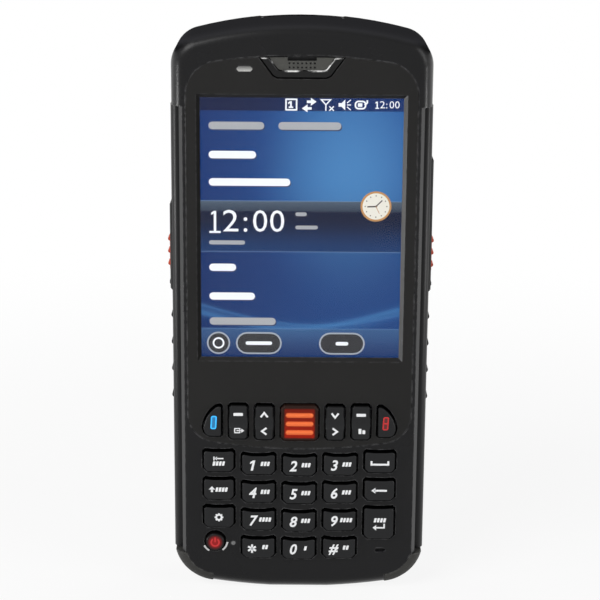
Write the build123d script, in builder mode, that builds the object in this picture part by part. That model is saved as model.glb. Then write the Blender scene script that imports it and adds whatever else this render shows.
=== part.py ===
"""Portable barcode data terminal, standing on its bottom end.

The screen and the keys face -Y, +X is to the right of someone reading the screen, and +Z runs
along the body to the scanning end. The origin is on the dock flat, in the middle of the bottom.
"""

from build123d import *
from math import radians, sqrt, tan
import os

# ---- Body ----
body_length = 158.0
body_width = 68.8
body_depth = 26.0
top_arc = 114.0
bottom_arc = 160.0
top_corner = 8.0
bottom_corner = 11.5
dock_flat = 16.0
front_roll = 4.0
back_roll = 5.0
# A rolled rim made of three flats: widths of the middle one and the outer two, per unit of radius.
roll_shares = (0.634, 0.24)

# ---- Walls and the joint between the two housings ----
front_wall = 2.4
rear_wall = 2.8
side_wall = 1.8
end_wall = 2.6
seam_from_back = 10.5
cavity_top_cut = 5.6
cavity_bottom_cut = 12.0
gasket_width = 0.7
gasket_height = 1.0
gasket_land = 0.4

# ---- Rubber grips in the side recesses, and the bumpers on the bottom corners ----
grip_recess = 2.1
recess_lip = (1.0, 1.5)
grip_low = 10.7
grip_below_top = 22.0
grip_high = body_length - grip_below_top
grip_thickness = 2.5
grip_depth = 17.0
grip_round = 2.2
grip_end_gap = 0.2
pad_height = 0.5
pad_slope = 0.45
pad_border = 1.8
pad_ridge_radius = 1.0
pad_ridge_proud = 0.35
pad_ridge_from_end = 1.7
pad_from_top = (49.0, 73.0)
pad_right_from_top = 36.6
pad_low = body_length - pad_from_top[1]
pad_high = body_length - pad_from_top[0]
pad_high_right = body_length - pad_right_from_top
rib_pitch = 7.6
rib_from_top = 103.1
rib_first = body_length - rib_from_top
rib_count = 4
rib_radius = 0.9
rib_proud = 0.4
rib_length = 12.0
bumper_thickness = 3.1
bumper_wrap = 10.5
bumper_reach = body_width / 2 - bumper_wrap
bumper_proud = 0.25

# ---- Bezel plate, display and touch panel ----
plate_rim = (3.9, 8.4)
plate_half_width = body_width / 2 - plate_rim[0]
plate_low = 41.7
plate_high = body_length - plate_rim[1]
plate_top_arc = 156.0
plate_bottom_arc = 154.0
plate_top_corner = 9.0
plate_bottom_corner = 8.0
plate_thickness = 1.1
window_side = 7.7
window_from_top = 19.65
window_width = body_width - 2 * window_side
window_low = 67.65
window_high = body_length - window_from_top
window_height = window_high - window_low
window_centre = (window_high + window_low) / 2
window_bevel = 1.0
glass_thickness = 1.2
glass_border = 2.4
glass_cut = 1.0
display_thickness = 3.0
display_border = 2.2
seat_gap = 0.1
# How far a cut reaches past the solid that it opens.
overcut = 1.0

# ---- Receiver: glossy trim, grille, slot and the sounder behind it ----
receiver_from_top = (9.0, 14.5)
receiver_low = body_length - receiver_from_top[1]
receiver_high = body_length - receiver_from_top[0]
receiver_half_top = 11.3
receiver_half_low = 7.2
trim_width = 2.2
trim_below_plate = 0.15
trim_chamfer = 0.4
trim_cuts = (0.8, 0.4)
grille_thickness = 0.5
grille_slot_width = 7.6
grille_slot_height = 0.9
grille_hole = 0.5
grille_pitch = 1.1
grille_columns = 7
grille_rows = 2
grille_low = 1.2
sounder_size = (13.0, 6.0, 2.4)
sounder_above_slot = 1.0

# ---- Keys ----
key_proud = 1.3
key_gap = 0.4
key_chamfer = 0.35
key_travel = 0.6
key_tab = 0.8
key_tab_thickness = 0.7
key_tab_height = 3.0
key_pitch_share = 0.1628
key_pitch_x = key_pitch_share * body_width
key_pitch_z = 8.16
keypad_top_row = 37.15
keypad_smile = 215.0
digit_space = 2.0
side_key_space = 2.8
digit_size = (key_pitch_x - digit_space, 6.1)
digit_cuts = (1.15, 0.5)
side_key_size = (key_pitch_x - side_key_space, 6.2)
side_key_cuts = (1.1, 0.55)
side_column = 2 * key_pitch_x - 0.3
tall_key_height = 9.3
key_dip = 0.5
key_dip_share = 0.4
function_row = 49.4
function_smile = 700.0
rocker_size = (key_pitch_x * 0.455, 9.9)
function_gap = 2.0
rocker_cut = 0.65
rocker_valley = 0.45
rocker_valley_radius = 4.0
moon_size = (rocker_size[0], 8.8)
moon_cut = 0.4
# Foot, heel, tip and bow of a half-moon key, as shares of its half width and half height.
moon_points = [(0.35, -1.0), (0.8, -0.85), (1.0, -0.5), (0.57, 0.32)]
scan_key_size = (key_pitch_x - 1.0, 10.1)
scan_key_cut = 0.95
scan_bar_pitch = 2.45
scan_bar_half = scan_key_size[0] / 2 - 1.2
scan_bar_radius = 0.4
scan_bar_sides = 8
rocker_inner = scan_key_size[0] / 2 + function_gap + rocker_size[0] / 2
rocker_outer = rocker_inner + rocker_size[0] + function_gap
moon_centre = rocker_outer + rocker_size[0] / 2 + function_gap + moon_size[0] / 2
power_centre = (-side_column - 1.1, 14.5)
power_radius = 2.7
power_sides = 24
crescent_radius = 3.35
crescent_width = 0.55
crescent_depth = 0.4
crescent_proud = 0.15
# Middle and sweep of each crescent, in degrees from +X.
crescent_arcs = [(-30, 48), (-137, 34)]
status_centre = (-1.625 * key_pitch_x, 13.8)
status_radius = 0.6
status_flange = (1.8, 1.2)
status_sides = 12
light_window = (-15.0, body_length - 12.0, 4.3, 1.5)
microphone_slot = (side_column + 0.5, 12.0, 2.9, 1.2)
microphone_depth = 1.0
light_cut = 0.6
microphone_cut = 0.4
lens_gap = 0.05

# ---- Keys on the sides ----
flank_key_depth = 5.2
flank_key_from_seam = 5.0
flank_key_proud = 0.2
flank_rib_radius = 0.55
flank_gap = 0.3
flank_chamfer = 0.5
flank_tab = 0.8
scan_flank_from_top = 62.8
scan_flank_centre = body_length - scan_flank_from_top
scan_flank_length = 10.8
scan_flank_rib_pitch = 3.4
volume_from_top = 45.2
volume_centre = body_length - volume_from_top
volume_length = 14.0

# ---- Boards and frame inside ----
membrane_thickness = 1.2
membrane_clearance = 0.1
membrane_pad = 3.0
membrane_side = 6.8
membrane_half_width = body_width / 2 - membrane_side
membrane_low = 10.8
membrane_high = 56.5
membrane_cut = 5.0
board_side = 5.4
board_ends = (10.8, 12.0)
board_half_width = body_width / 2 - board_side
board_low = board_ends[0]
board_high = body_length - board_ends[1]
board_thickness = 1.2
board_cuts = (10.0, 4.0)
can_height = 2.0
can_sink = 0.1
# Shield cans: x, place along the battery as a share of its length, width, height as such a share.
shield_cans = [(-9.0, 0.29, 22.0, 0.36), (12.0, 0.68, 18.0, 0.42), (-12.0, 0.76, 16.0, 0.25)]
frame_thickness = 1.2
tray_wall = 1.2
tray_floor = 1.2
tray_depth = 5.5
tray_ledge = 1.0

# ---- Battery, its cover, hinge and latch ----
battery_side = 9.4
battery_ends = 86.0
battery_size = (body_width - 2 * battery_side, body_length - battery_ends, 10.0)
battery_low = 17.2
battery_play = 0.3
battery_cut = 1.5
battery_chamfer = 0.6
cover_thickness = 2.0
cover_side = 7.5
cover_half_width = body_width / 2 - cover_side
cover_low = 14.1
cover_corner = 3.0
cover_gap = 0.3
ledge_width = 1.2
bay_cut = 2.5
hinge_above_battery = 9.5
hinge_z = battery_low + battery_size[1] + hinge_above_battery
neck_shoulder = 6.3
barrel_half = cover_half_width - neck_shoulder
neck_height = 8.0
neck_gap = 0.5
pin_radius = 0.9
pin_gap = 0.08
pin_seat = 3.8
pin_half = barrel_half + pin_seat
hinge_room = 0.65
hinge_block_wall = 2.0
latch_travel = 2.0
latch_half_width = 7.0
latch_height = 8.0
latch_low = 17.4
latch_thumb = 1.2
latch_proud = 0.25
latch_ridge = 0.25
latch_ridge_pitch = 1.6
latch_ridge_share = 0.75
latch_gap = 0.2
latch_stem_half = 3.0
latch_plate = 1.1
latch_plate_half = 5.0
latch_plate_over = 1.0
latch_cut = 0.6

# ---- Top end: scan window and engine; back: camera and loudspeaker; bottom: dock connector ----
scan_window_size = (24.0, 5.4)
scan_window_from_back = 6.6
scan_window_thickness = 1.2
scan_window_sunk = 0.9
scan_ledge = 1.6
scan_window_cut = 1.1
engine_size = (20.0, 6.6, 12.0)
engine_lens = (-4.0, 2.2, 3.0)
engine_light = (5.5, 1.4, 2.0)
camera_from_top = 22.0
camera_z = body_length - camera_from_top
camera_window = (19.0, 9.0)
camera_window_cut = 2.6
camera_window_thickness = 0.8
camera_radius = 3.0
camera_offset = -4.2
camera_module = 8.6
camera_depth = 4.0
camera_bore = 1.0
speaker_from_top = 39.0
speaker_z = body_length - speaker_from_top
speaker_radius = 7.5
speaker_depth = 3.2
speaker_slot = (12.0, 1.1)
speaker_slot_pitch = 2.3
speaker_slot_count = 5
dock_width = 20.0
dock_height = 4.4
dock_from_back = 7.6
dock_depth = 6.5
dock_wall = 1.0
dock_tongue = 1.2

# ---- Screws, and the number of sides of the small round holes, bosses and barrels ----
small_sides = 8
round_sides = 16
upper_screw_inset = (9.4, 8.0)
lower_screw_inset = (15.4, 7.8)
upper_screw = (body_width / 2 - upper_screw_inset[0], body_length - upper_screw_inset[1])
lower_screw = (body_width / 2 - lower_screw_inset[0], lower_screw_inset[1])
screw_spots = [(side * x, z) for x, z in (upper_screw, lower_screw) for side in (-1, 1)]
screw_radius = 1.0
screw_gap = 0.1
screw_head_radius = 1.8
screw_head_height = 1.2
screw_sink = 1.8
screw_engagement = 6.0
boss_radius = 2.5
recess_drive = 0.55

# ---- Depths that follow, measured along Y ----
# The origin is in the middle of the whole depth, over the scan key's bars and the latch's ridges.
front_y = -body_depth / 2 + (key_proud + scan_bar_radius - latch_proud - latch_ridge) / 2
back_y = front_y + body_depth
middle_y = (front_y + back_y) / 2
seam_y = back_y - seam_from_back
wall_back_y = front_y + front_wall
plate_back_y = front_y + plate_thickness
glass_back_y = plate_back_y + glass_thickness
display_back_y = glass_back_y + display_thickness
key_top_y = front_y - key_proud
key_back_y = wall_back_y + key_tab_thickness
board_back_y = display_back_y + board_thickness
frame_back_y = board_back_y + frame_thickness
membrane_front_y = display_back_y - membrane_thickness
cover_seat_y = back_y - cover_thickness
rear_inner_y = back_y - rear_wall
barrel_radius = cover_thickness + (rear_wall - cover_thickness) / 2
hinge_y = back_y - barrel_radius
battery_back_y = cover_seat_y - latch_plate - 3 * latch_gap
battery_front_y = battery_back_y - battery_size[2]
tray_rim_y = battery_front_y + tray_depth
hinge_block_y = hinge_y - barrel_radius - hinge_room - hinge_block_wall
flank_key_y = seam_y - flank_key_from_seam
scan_window_y = back_y - scan_window_from_back
dock_y = back_y - dock_from_back
recess_x = body_width / 2 - grip_recess
cavity_half_width = recess_x - side_wall
cavity_low = end_wall
cavity_high = body_length - end_wall


def facing(y):
    """Plane across the body at depth y, seen from the front: local x is X and local y is Z."""
    return Plane.XZ.offset(-y)


def level(z):
    """Plane across the body at height z: local x is X and local y is Y."""
    return Plane.XY.offset(z)


def sag(radius, half_chord):
    return radius - sqrt(radius**2 - half_chord**2)


def arched_outline(half_width, low, high, arcs, corners, corner=fillet, flat=0.0):
    """Closed outline with straight sides and an arched bottom and top, given as pairs (low, high).

    corner is the operation that rounds or cuts the corners."""
    low_arc, high_arc = arcs
    low_centre = low + low_arc - sag(low_arc, flat / 2)
    side_low = low_centre - sqrt(low_arc**2 - half_width**2)
    side_high = high - sag(high_arc, half_width)
    between = (half_width + flat / 2) / 2
    between_z = low_centre - sqrt(low_arc**2 - between**2)
    with BuildSketch() as outline:
        with BuildLine():
            Line((-half_width, side_low), (-half_width, side_high))
            ThreePointArc((-half_width, side_high), (0, high), (half_width, side_high))
            Line((half_width, side_high), (half_width, side_low))
            if flat > 0:
                ThreePointArc((half_width, side_low), (between, between_z), (flat / 2, low))
                Line((flat / 2, low), (-flat / 2, low))
                ThreePointArc((-flat / 2, low), (-between, between_z), (-half_width, side_low))
            else:
                ThreePointArc((half_width, side_low), (0, low), (-half_width, side_low))
        make_face()
        ends = outline.vertices().filter_by(lambda v: abs(v.X) > half_width - 0.01)
        corner(ends.sort_by(Axis.Y)[:2], corners[0])
        corner(outline.vertices().filter_by(lambda v: v.Y > side_high - 0.01), corners[1])
    return outline.sketch


def grown(shape, amount):
    """The same outline, moved outward by amount, or inward when amount is negative."""
    with BuildSketch() as result:
        add(shape)
        offset(amount=amount, kind=Kind.INTERSECTION)
    return result.sketch


def plate_outline(inset):
    """Outline of the bezel plate, moved inward by inset."""
    return arched_outline(
        plate_half_width - inset,
        plate_low + inset,
        plate_high - inset,
        (plate_bottom_arc - inset, plate_top_arc - inset),
        (plate_bottom_corner - inset, plate_top_corner - inset),
    )


def cut_rectangle(width, height, low_cut, high_cut, dip=0.0):
    """Rectangle with its corners cut off, and an upper edge that dips in the middle."""
    w, h = width / 2, height / 2
    with BuildSketch() as outline:
        with BuildLine():
            Polyline((-w, h), (-w, -h), (w, -h), (w, h))
            if dip > 0:
                flat = key_dip_share * w
                Polyline((w, h), (flat, h - dip), (-flat, h - dip), (-w, h))
            else:
                Line((w, h), (-w, h))
        make_face()
        chamfer(outline.vertices().group_by(Axis.Y)[0], low_cut)
        chamfer(outline.vertices().filter_by(lambda v: v.Y > h - 0.01), high_cut)
    return outline.sketch


def half_moon(side):
    """Outline of the outer function keys: upright toward the middle, curved outward and down."""
    w, h = side * moon_size[0] / 2, moon_size[1] / 2
    (foot_x, _), (heel_x, heel_z), (tip_x, tip_z), (bow_x, bow_z) = [
        (w * across, h * up) for across, up in moon_points
    ]
    with BuildSketch() as outline:
        with BuildLine():
            Polyline((-bow_x, h), (-w, h), (-w, -h), (foot_x, -h), (heel_x, heel_z), (tip_x, tip_z))
            ThreePointArc((tip_x, tip_z), (bow_x, bow_z), (-bow_x, h))
        make_face()
        chamfer(outline.vertices().filter_by(lambda v: side * v.X < -0.9 * w), moon_cut)
    return outline.sketch


def receiver_shape(inset, high, cut):
    """Tapered outline of the receiver, its sides and floor moved inward by inset."""
    slope = (receiver_half_top - receiver_half_low) / (receiver_high - receiver_low)
    low = receiver_low + inset
    half_low = receiver_half_low + slope * inset - inset * sqrt(1 + slope**2)
    half_high = half_low + slope * (high - low)
    with BuildSketch() as outline:
        with BuildLine():
            Polyline((-half_low, low), (half_low, low), (half_high, high), (-half_high, high), close=True)
        make_face()
        chamfer(outline.vertices().group_by(Axis.Y)[0], cut)
    return outline.sketch


def smile(x, radius):
    """How far a row of keys rises at x, away from the middle column."""
    return sag(radius, x)


body_outline = arched_outline(
    body_width / 2,
    0,
    body_length,
    (bottom_arc, top_arc),
    (bottom_corner, top_corner),
    flat=dock_flat,
)
cavity_outline = arched_outline(
    cavity_half_width,
    cavity_low,
    cavity_high,
    (bottom_arc, top_arc),
    (cavity_bottom_cut, cavity_top_cut),
    corner=chamfer,
)
gasket_inner = grown(cavity_outline, gasket_land)
gasket_outer = grown(cavity_outline, gasket_land + gasket_width)

with BuildSketch() as bumper_shape:
    add(grown(body_outline, bumper_proud))
    add(grown(body_outline, -bumper_thickness), mode=Mode.SUBTRACT)
    Rectangle(2 * body_width, 2 * grip_low, mode=Mode.INTERSECT)
    Rectangle(2 * bumper_reach, 2 * grip_low, mode=Mode.SUBTRACT)
bumper_outline = bumper_shape.sketch

digit_outline = cut_rectangle(*digit_size, *digit_cuts, key_dip)
side_key_outline = cut_rectangle(*side_key_size, *side_key_cuts, key_dip / 2)
tall_key_outline = cut_rectangle(side_key_size[0], tall_key_height, *side_key_cuts, key_dip / 2)
scan_key_outline = cut_rectangle(*scan_key_size, scan_key_cut, scan_key_cut)
rocker_outline = cut_rectangle(*rocker_size, rocker_cut, rocker_cut)
with BuildSketch() as power_shape:
    RegularPolygon(power_radius, power_sides)
power_outline = power_shape.sketch

# Every key that is pressed straight in: name, place of its centre (x, z) and outline.
press_keys = {}
digit_rows = [("1", "2", "3"), ("4", "5", "6"), ("7", "8", "9"), ("star", "0", "hash")]
for row, names in enumerate(digit_rows):
    for column, name in enumerate(names):
        x = (column - 1) * key_pitch_x
        z = keypad_top_row - row * key_pitch_z + smile(x, keypad_smile)
        press_keys["key_" + name] = (x, z, digit_outline)
for side, names in ((-1, ("tab", "shift", "backlight")), (1, ("space", "backspace"))):
    for row, name in enumerate(names):
        z = keypad_top_row - row * key_pitch_z + smile(side_column, keypad_smile)
        press_keys["key_" + name] = (side * side_column, z, side_key_outline)
enter_top = keypad_top_row - 2 * key_pitch_z + smile(side_column, keypad_smile) + side_key_size[1] / 2
press_keys["key_enter"] = (side_column, enter_top - tall_key_height / 2, tall_key_outline)
press_keys["key_scan"] = (0.0, function_row, scan_key_outline)
press_keys["key_power"] = (*power_centre, power_outline)
for side, name in ((-1, "soft_left"), (1, "soft_right")):
    z = function_row + smile(moon_centre, function_smile)
    press_keys["key_" + name] = (side * moon_centre, z, half_moon(side))

# Keys that rock about a line through their middle.
rocker_keys = {}
for name, x in (
    ("outer_left", -rocker_outer),
    ("inner_left", -rocker_inner),
    ("inner_right", rocker_inner),
    ("outer_right", rocker_outer),
):
    rocker_keys["rocker_" + name] = (x, function_row + smile(x, function_smile), rocker_outline)

all_keys = {**press_keys, **rocker_keys}


def roll(shell, y, radius):
    """Rolls the rim at depth y of the part being built, with three flats that follow the radius."""
    middle_flat, outer_flat = (share * radius for share in roll_shares)
    inner_y = y - middle_flat if y > 0 else y + middle_flat
    rim = shell.edges().filter_by_position(Axis.Y, y - 0.01, y + 0.01)
    chamfer(rim, middle_flat)
    for rim_y in (y, inner_y):
        rim = shell.edges().filter_by_position(Axis.Y, rim_y - 0.01, rim_y + 0.01)
        chamfer(rim, outer_flat)


def border_outline(border):
    """Outline of the glass or the display, larger than the window by border."""
    return cut_rectangle(window_width + 2 * border, window_height + 2 * border, glass_cut, glass_cut)


def finish(part, name):
    part.label = name
    export_step(part, "parts/" + name + ".step")


def key_holes():
    """Holes for every key, as one sketch."""
    with BuildSketch() as holes:
        for x, z, outline in all_keys.values():
            with Locations((x, z)):
                add(grown(outline, key_gap))
        with Locations(status_centre):
            RegularPolygon(status_radius + lens_gap, status_sides)
    return holes.sketch


def crescents():
    """Two bright crescents beside the lower half of the power key."""
    outer = crescent_radius + crescent_width / 2
    far = 2 * outer
    with BuildSketch() as result:
        with Locations(power_centre):
            Circle(outer)
            Circle(outer - crescent_width, mode=Mode.SUBTRACT)
        with BuildSketch(mode=Mode.PRIVATE) as sectors:
            for middle, sweep in crescent_arcs:
                spread = far * tan(radians(sweep / 2))
                with Locations(Location((*power_centre, 0), (0, 0, middle))):
                    Polygon((0, 0), (far, spread), (far, -spread), align=None)
        add(sectors.sketch, mode=Mode.INTERSECT)
    return result.sketch


def side_windows(side, gap):
    """Boxes (centre z, length) of the keys that come out of one side, grown by gap."""
    spans = [(scan_flank_centre, scan_flank_length)]
    if side > 0:
        spans.append((volume_centre, volume_length))
    return [(z, length + 2 * gap) for z, length in spans]


key_hole_shape = key_holes()
crescent_shape = crescents()
light_outline = cut_rectangle(*light_window[2:], light_cut, light_cut)
trim_outer = receiver_shape(0, receiver_high, trim_cuts[0])
trim_inner = receiver_shape(trim_width - lens_gap, receiver_high + overcut, trim_cuts[1])
grille_outline = receiver_shape(trim_width, receiver_high, trim_cuts[1])
plate_notch = receiver_shape(-lens_gap, plate_high + overcut, trim_cuts[0])

scan_window_outline = cut_rectangle(*scan_window_size, scan_window_cut, scan_window_cut)
camera_outline = cut_rectangle(*camera_window, camera_window_cut, camera_window_cut)

os.makedirs("parts", exist_ok=True)

# ---- Front housing: screen pocket, key holes, recesses for the grips and bumpers ----
with BuildPart() as front_housing:
    with BuildSketch(facing(seam_y)):
        add(body_outline)
    extrude(amount=seam_y - front_y)
    fillet(front_housing.faces().sort_by(Axis.Y)[0].edges(), front_roll)
    with BuildSketch(facing(seam_y)):
        add(cavity_outline)
    extrude(amount=seam_y - wall_back_y, mode=Mode.SUBTRACT)
    # Bosses that the screws bite into.
    with BuildSketch(facing(wall_back_y)):
        with Locations(*screw_spots):
            RegularPolygon(boss_radius, small_sides)
    extrude(amount=-(seam_y - wall_back_y))
    with BuildSketch(facing(seam_y)):
        with Locations(*screw_spots):
            RegularPolygon(screw_radius, small_sides)
    extrude(amount=screw_engagement, mode=Mode.SUBTRACT)
    # Groove for the gasket.
    with BuildSketch(facing(seam_y)):
        add(gasket_outer)
        add(gasket_inner, mode=Mode.SUBTRACT)
    extrude(amount=gasket_height, mode=Mode.SUBTRACT)
    # Side recesses, side key windows and bumper seats.
    for side in (-1, 1):
        with Locations((side * (recess_x + body_width / 4), 0, (grip_low + grip_high) / 2)):
            Box(body_width / 2, 2 * body_depth, grip_high - grip_low, mode=Mode.SUBTRACT)
        # The long front edge of the recess slopes down to the grip.
        lip_x = side * (recess_x - recess_lip[0])
        with BuildSketch(level(grip_low)):
            Polygon(
                (lip_x, front_y),
                (side * recess_x, front_y + recess_lip[1]),
                (side * body_width, front_y + recess_lip[1]),
                (side * body_width, front_y),
                align=None,
            )
        extrude(amount=grip_high - grip_low, mode=Mode.SUBTRACT)
        for z, length in side_windows(side, flank_gap):
            with Locations((side * recess_x, flank_key_y, z)):
                Box(4 * side_wall, flank_key_depth + 2 * flank_gap, length, mode=Mode.SUBTRACT)
    with BuildSketch(facing(back_y)):
        add(bumper_outline)
    extrude(amount=body_depth, mode=Mode.SUBTRACT)
    # Pocket for the bezel plate, and the opening behind it for the touch panel.
    with BuildSketch(facing(plate_back_y)):
        add(plate_outline(0))
    extrude(amount=2 * plate_thickness, mode=Mode.SUBTRACT)
    with BuildSketch(facing(wall_back_y)):
        with Locations((0, window_centre)):
            Rectangle(
                window_width + 2 * (glass_border + seat_gap),
                window_height + 2 * (glass_border + seat_gap),
            )
    extrude(amount=2 * front_wall, mode=Mode.SUBTRACT)
    # Holes for the keys, the receiver, the microphone and the crescents.
    with BuildSketch(facing(wall_back_y)):
        add(key_hole_shape)
    extrude(amount=2 * front_wall, mode=Mode.SUBTRACT)
    with BuildSketch(facing(wall_back_y)):
        with Locations((0, receiver_high - grille_slot_height / 2)):
            Rectangle(grille_slot_width, grille_slot_height)
    extrude(amount=2 * front_wall, mode=Mode.SUBTRACT)
    with BuildSketch(facing(front_y + microphone_depth)):
        with Locations(microphone_slot[:2]):
            add(cut_rectangle(*microphone_slot[2:], microphone_cut, microphone_cut))
    extrude(amount=microphone_depth, mode=Mode.SUBTRACT)
    with BuildSketch(facing(front_y + crescent_depth)):
        add(crescent_shape)
    extrude(amount=crescent_depth, mode=Mode.SUBTRACT)
finish(front_housing.part, "front_housing")

# ---- Bezel plate, flush in its pocket ----
with BuildPart() as bezel_plate:
    with BuildSketch(facing(plate_back_y)):
        add(plate_outline(lens_gap))
    extrude(amount=plate_thickness)
    with BuildSketch(facing(plate_back_y)):
        with Locations((0, window_centre)):
            Rectangle(window_width, window_height)
    extrude(amount=plate_thickness, mode=Mode.SUBTRACT)
    window_edges = bezel_plate.faces().sort_by(Axis.Y)[0].inner_wires()[0].edges()
    chamfer(window_edges, window_bevel)
    with BuildSketch(facing(plate_back_y)):
        add(key_hole_shape)
        add(plate_notch)
        with Locations(light_window[:2]):
            add(grown(light_outline, lens_gap))
    extrude(amount=plate_thickness, mode=Mode.SUBTRACT)
finish(bezel_plate.part, "bezel_plate")

# ---- Rear housing: battery bay, hinge pocket, windows of the scanner and the camera ----
bay_low = cover_low - cover_gap
bay_half = cover_half_width + cover_gap
bay_high = hinge_z - neck_height
opening_half = bay_half - ledge_width
opening_low = bay_low + ledge_width
opening_high = bay_high - ledge_width
scan_floor_z = body_length - scan_window_sunk - scan_window_thickness
tongue_y = cover_seat_y - latch_gap - latch_plate / 2
slot_low = cover_low - latch_travel

with BuildPart() as rear_housing:
    with BuildSketch(facing(back_y)):
        add(body_outline)
    extrude(amount=back_y - seam_y)
    roll(rear_housing, back_y, back_roll)
    with BuildSketch(facing(rear_inner_y)):
        add(cavity_outline)
    extrude(amount=rear_inner_y - seam_y, mode=Mode.SUBTRACT)
    with BuildSketch(facing(rear_inner_y)):
        with Locations(*screw_spots):
            RegularPolygon(boss_radius, small_sides)
    extrude(amount=rear_inner_y - seam_y)
    # Block inside the back wall that carries the hinge pin.
    block_height = 2 * (barrel_radius + hinge_room + hinge_block_wall)
    with Locations((0, (rear_inner_y + hinge_block_y) / 2, hinge_z)):
        Box(2 * (pin_half + hinge_block_wall), rear_inner_y - hinge_block_y, block_height)
    pocket_y = hinge_block_y + hinge_block_wall
    with Locations((0, (back_y + pocket_y) / 2, hinge_z)):
        Box(
            2 * (barrel_half + cover_gap),
            back_y - pocket_y,
            2 * (barrel_radius + hinge_room),
            mode=Mode.SUBTRACT,
        )
    # Seat of the cover's neck, which the barrel runs along.
    with Locations((0, back_y, hinge_z - neck_height / 2)):
        Box(2 * (barrel_half + cover_gap), 2 * cover_thickness, neck_height + overcut, mode=Mode.SUBTRACT)
    with Locations(Location((0, hinge_y, hinge_z), (0, 90, 0))):
        Cylinder(pin_radius + pin_gap, 2 * pin_half, mode=Mode.SUBTRACT)
    # Pocket for the cover, and the opening through which the battery goes in.
    with BuildSketch(facing(cover_seat_y)):
        with Locations((0, (bay_low + bay_high) / 2)):
            RectangleRounded(2 * bay_half, bay_high - bay_low, cover_corner + cover_gap)
    extrude(amount=-2 * cover_thickness, mode=Mode.SUBTRACT)
    with BuildSketch(facing(back_y)):
        with Locations((0, (opening_low + opening_high) / 2)):
            add(cut_rectangle(2 * opening_half, opening_high - opening_low, bay_cut, bay_cut))
    extrude(amount=back_y - hinge_block_y, mode=Mode.SUBTRACT)
    # Slot that the latch tongue enters below the bay.
    with Locations((0, tongue_y, (slot_low + opening_low + overcut) / 2)):
        Box(
            2 * (latch_plate_half + latch_gap),
            latch_plate + 2 * latch_gap,
            opening_low + overcut - slot_low,
            mode=Mode.SUBTRACT,
        )
    # Recess and opening of the scan window in the top end.
    with BuildSketch(level(scan_floor_z)):
        with Locations((0, scan_window_y)):
            add(grown(scan_window_outline, lens_gap))
    extrude(amount=2 * end_wall, mode=Mode.SUBTRACT)
    with BuildSketch(level(cavity_high - end_wall)):
        with Locations((0, scan_window_y)):
            Rectangle(scan_window_size[0] - 2 * scan_ledge, scan_window_size[1] - scan_ledge)
    extrude(amount=2 * end_wall, mode=Mode.SUBTRACT)
    # Camera window seat, lens opening and loudspeaker slots in the back.
    with BuildSketch(facing(back_y)):
        with Locations((0, camera_z)):
            add(grown(camera_outline, lens_gap))
    extrude(amount=camera_window_thickness, mode=Mode.SUBTRACT, dir=(0, -1, 0))
    with BuildSketch(facing(back_y)):
        with Locations((camera_offset, camera_z)):
            RegularPolygon(camera_radius, round_sides)
        with Locations((0, speaker_z)):
            with GridLocations(0, speaker_slot_pitch, 1, speaker_slot_count):
                Rectangle(*speaker_slot)
    extrude(amount=2 * rear_wall, mode=Mode.SUBTRACT)
    # Dock connector opening in the bottom end.
    with Locations((0, dock_y, end_wall / 2)):
        Box(dock_width, dock_height, 3 * end_wall, mode=Mode.SUBTRACT)
    # Screw holes with sunk heads.
    with BuildSketch(facing(back_y)):
        with Locations(*screw_spots):
            RegularPolygon(screw_radius + screw_gap, small_sides)
    extrude(amount=back_y - seam_y, mode=Mode.SUBTRACT)
    with BuildSketch(facing(back_y)):
        with Locations(*screw_spots):
            RegularPolygon(screw_head_radius + screw_gap, round_sides)
    extrude(amount=screw_sink + screw_head_height, mode=Mode.SUBTRACT)
    for side in (-1, 1):
        with Locations((side * (recess_x + body_width / 4), 0, (grip_low + grip_high) / 2)):
            Box(body_width / 2, 2 * body_depth, grip_high - grip_low, mode=Mode.SUBTRACT)
    with BuildSketch(facing(back_y)):
        add(bumper_outline)
    extrude(amount=body_depth, mode=Mode.SUBTRACT)
finish(rear_housing.part, "rear_housing")

# ---- Gasket in the seam ----
with BuildPart() as housing_gasket:
    with BuildSketch(facing(seam_y)):
        add(gasket_outer)
        add(gasket_inner, mode=Mode.SUBTRACT)
    extrude(amount=gasket_height)
finish(housing_gasket.part, "housing_gasket")

# ---- Bumpers on the bottom corners ----
for side, name in ((-1, "corner_bumper_left"), (1, "corner_bumper_right")):
    with BuildPart() as bumper:
        with BuildSketch(facing(back_y)):
            add(grown(body_outline, bumper_proud))
        extrude(amount=body_depth)
        roll(bumper, front_y, front_roll)
        roll(bumper, back_y, back_roll)
        with BuildSketch(facing(back_y)):
            add(bumper_outline)
            with Locations((-side * body_width, 0)):
                Rectangle(2 * body_width, 4 * grip_low, mode=Mode.SUBTRACT)
        extrude(amount=body_depth, mode=Mode.INTERSECT)
    finish(bumper.part, name)

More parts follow.
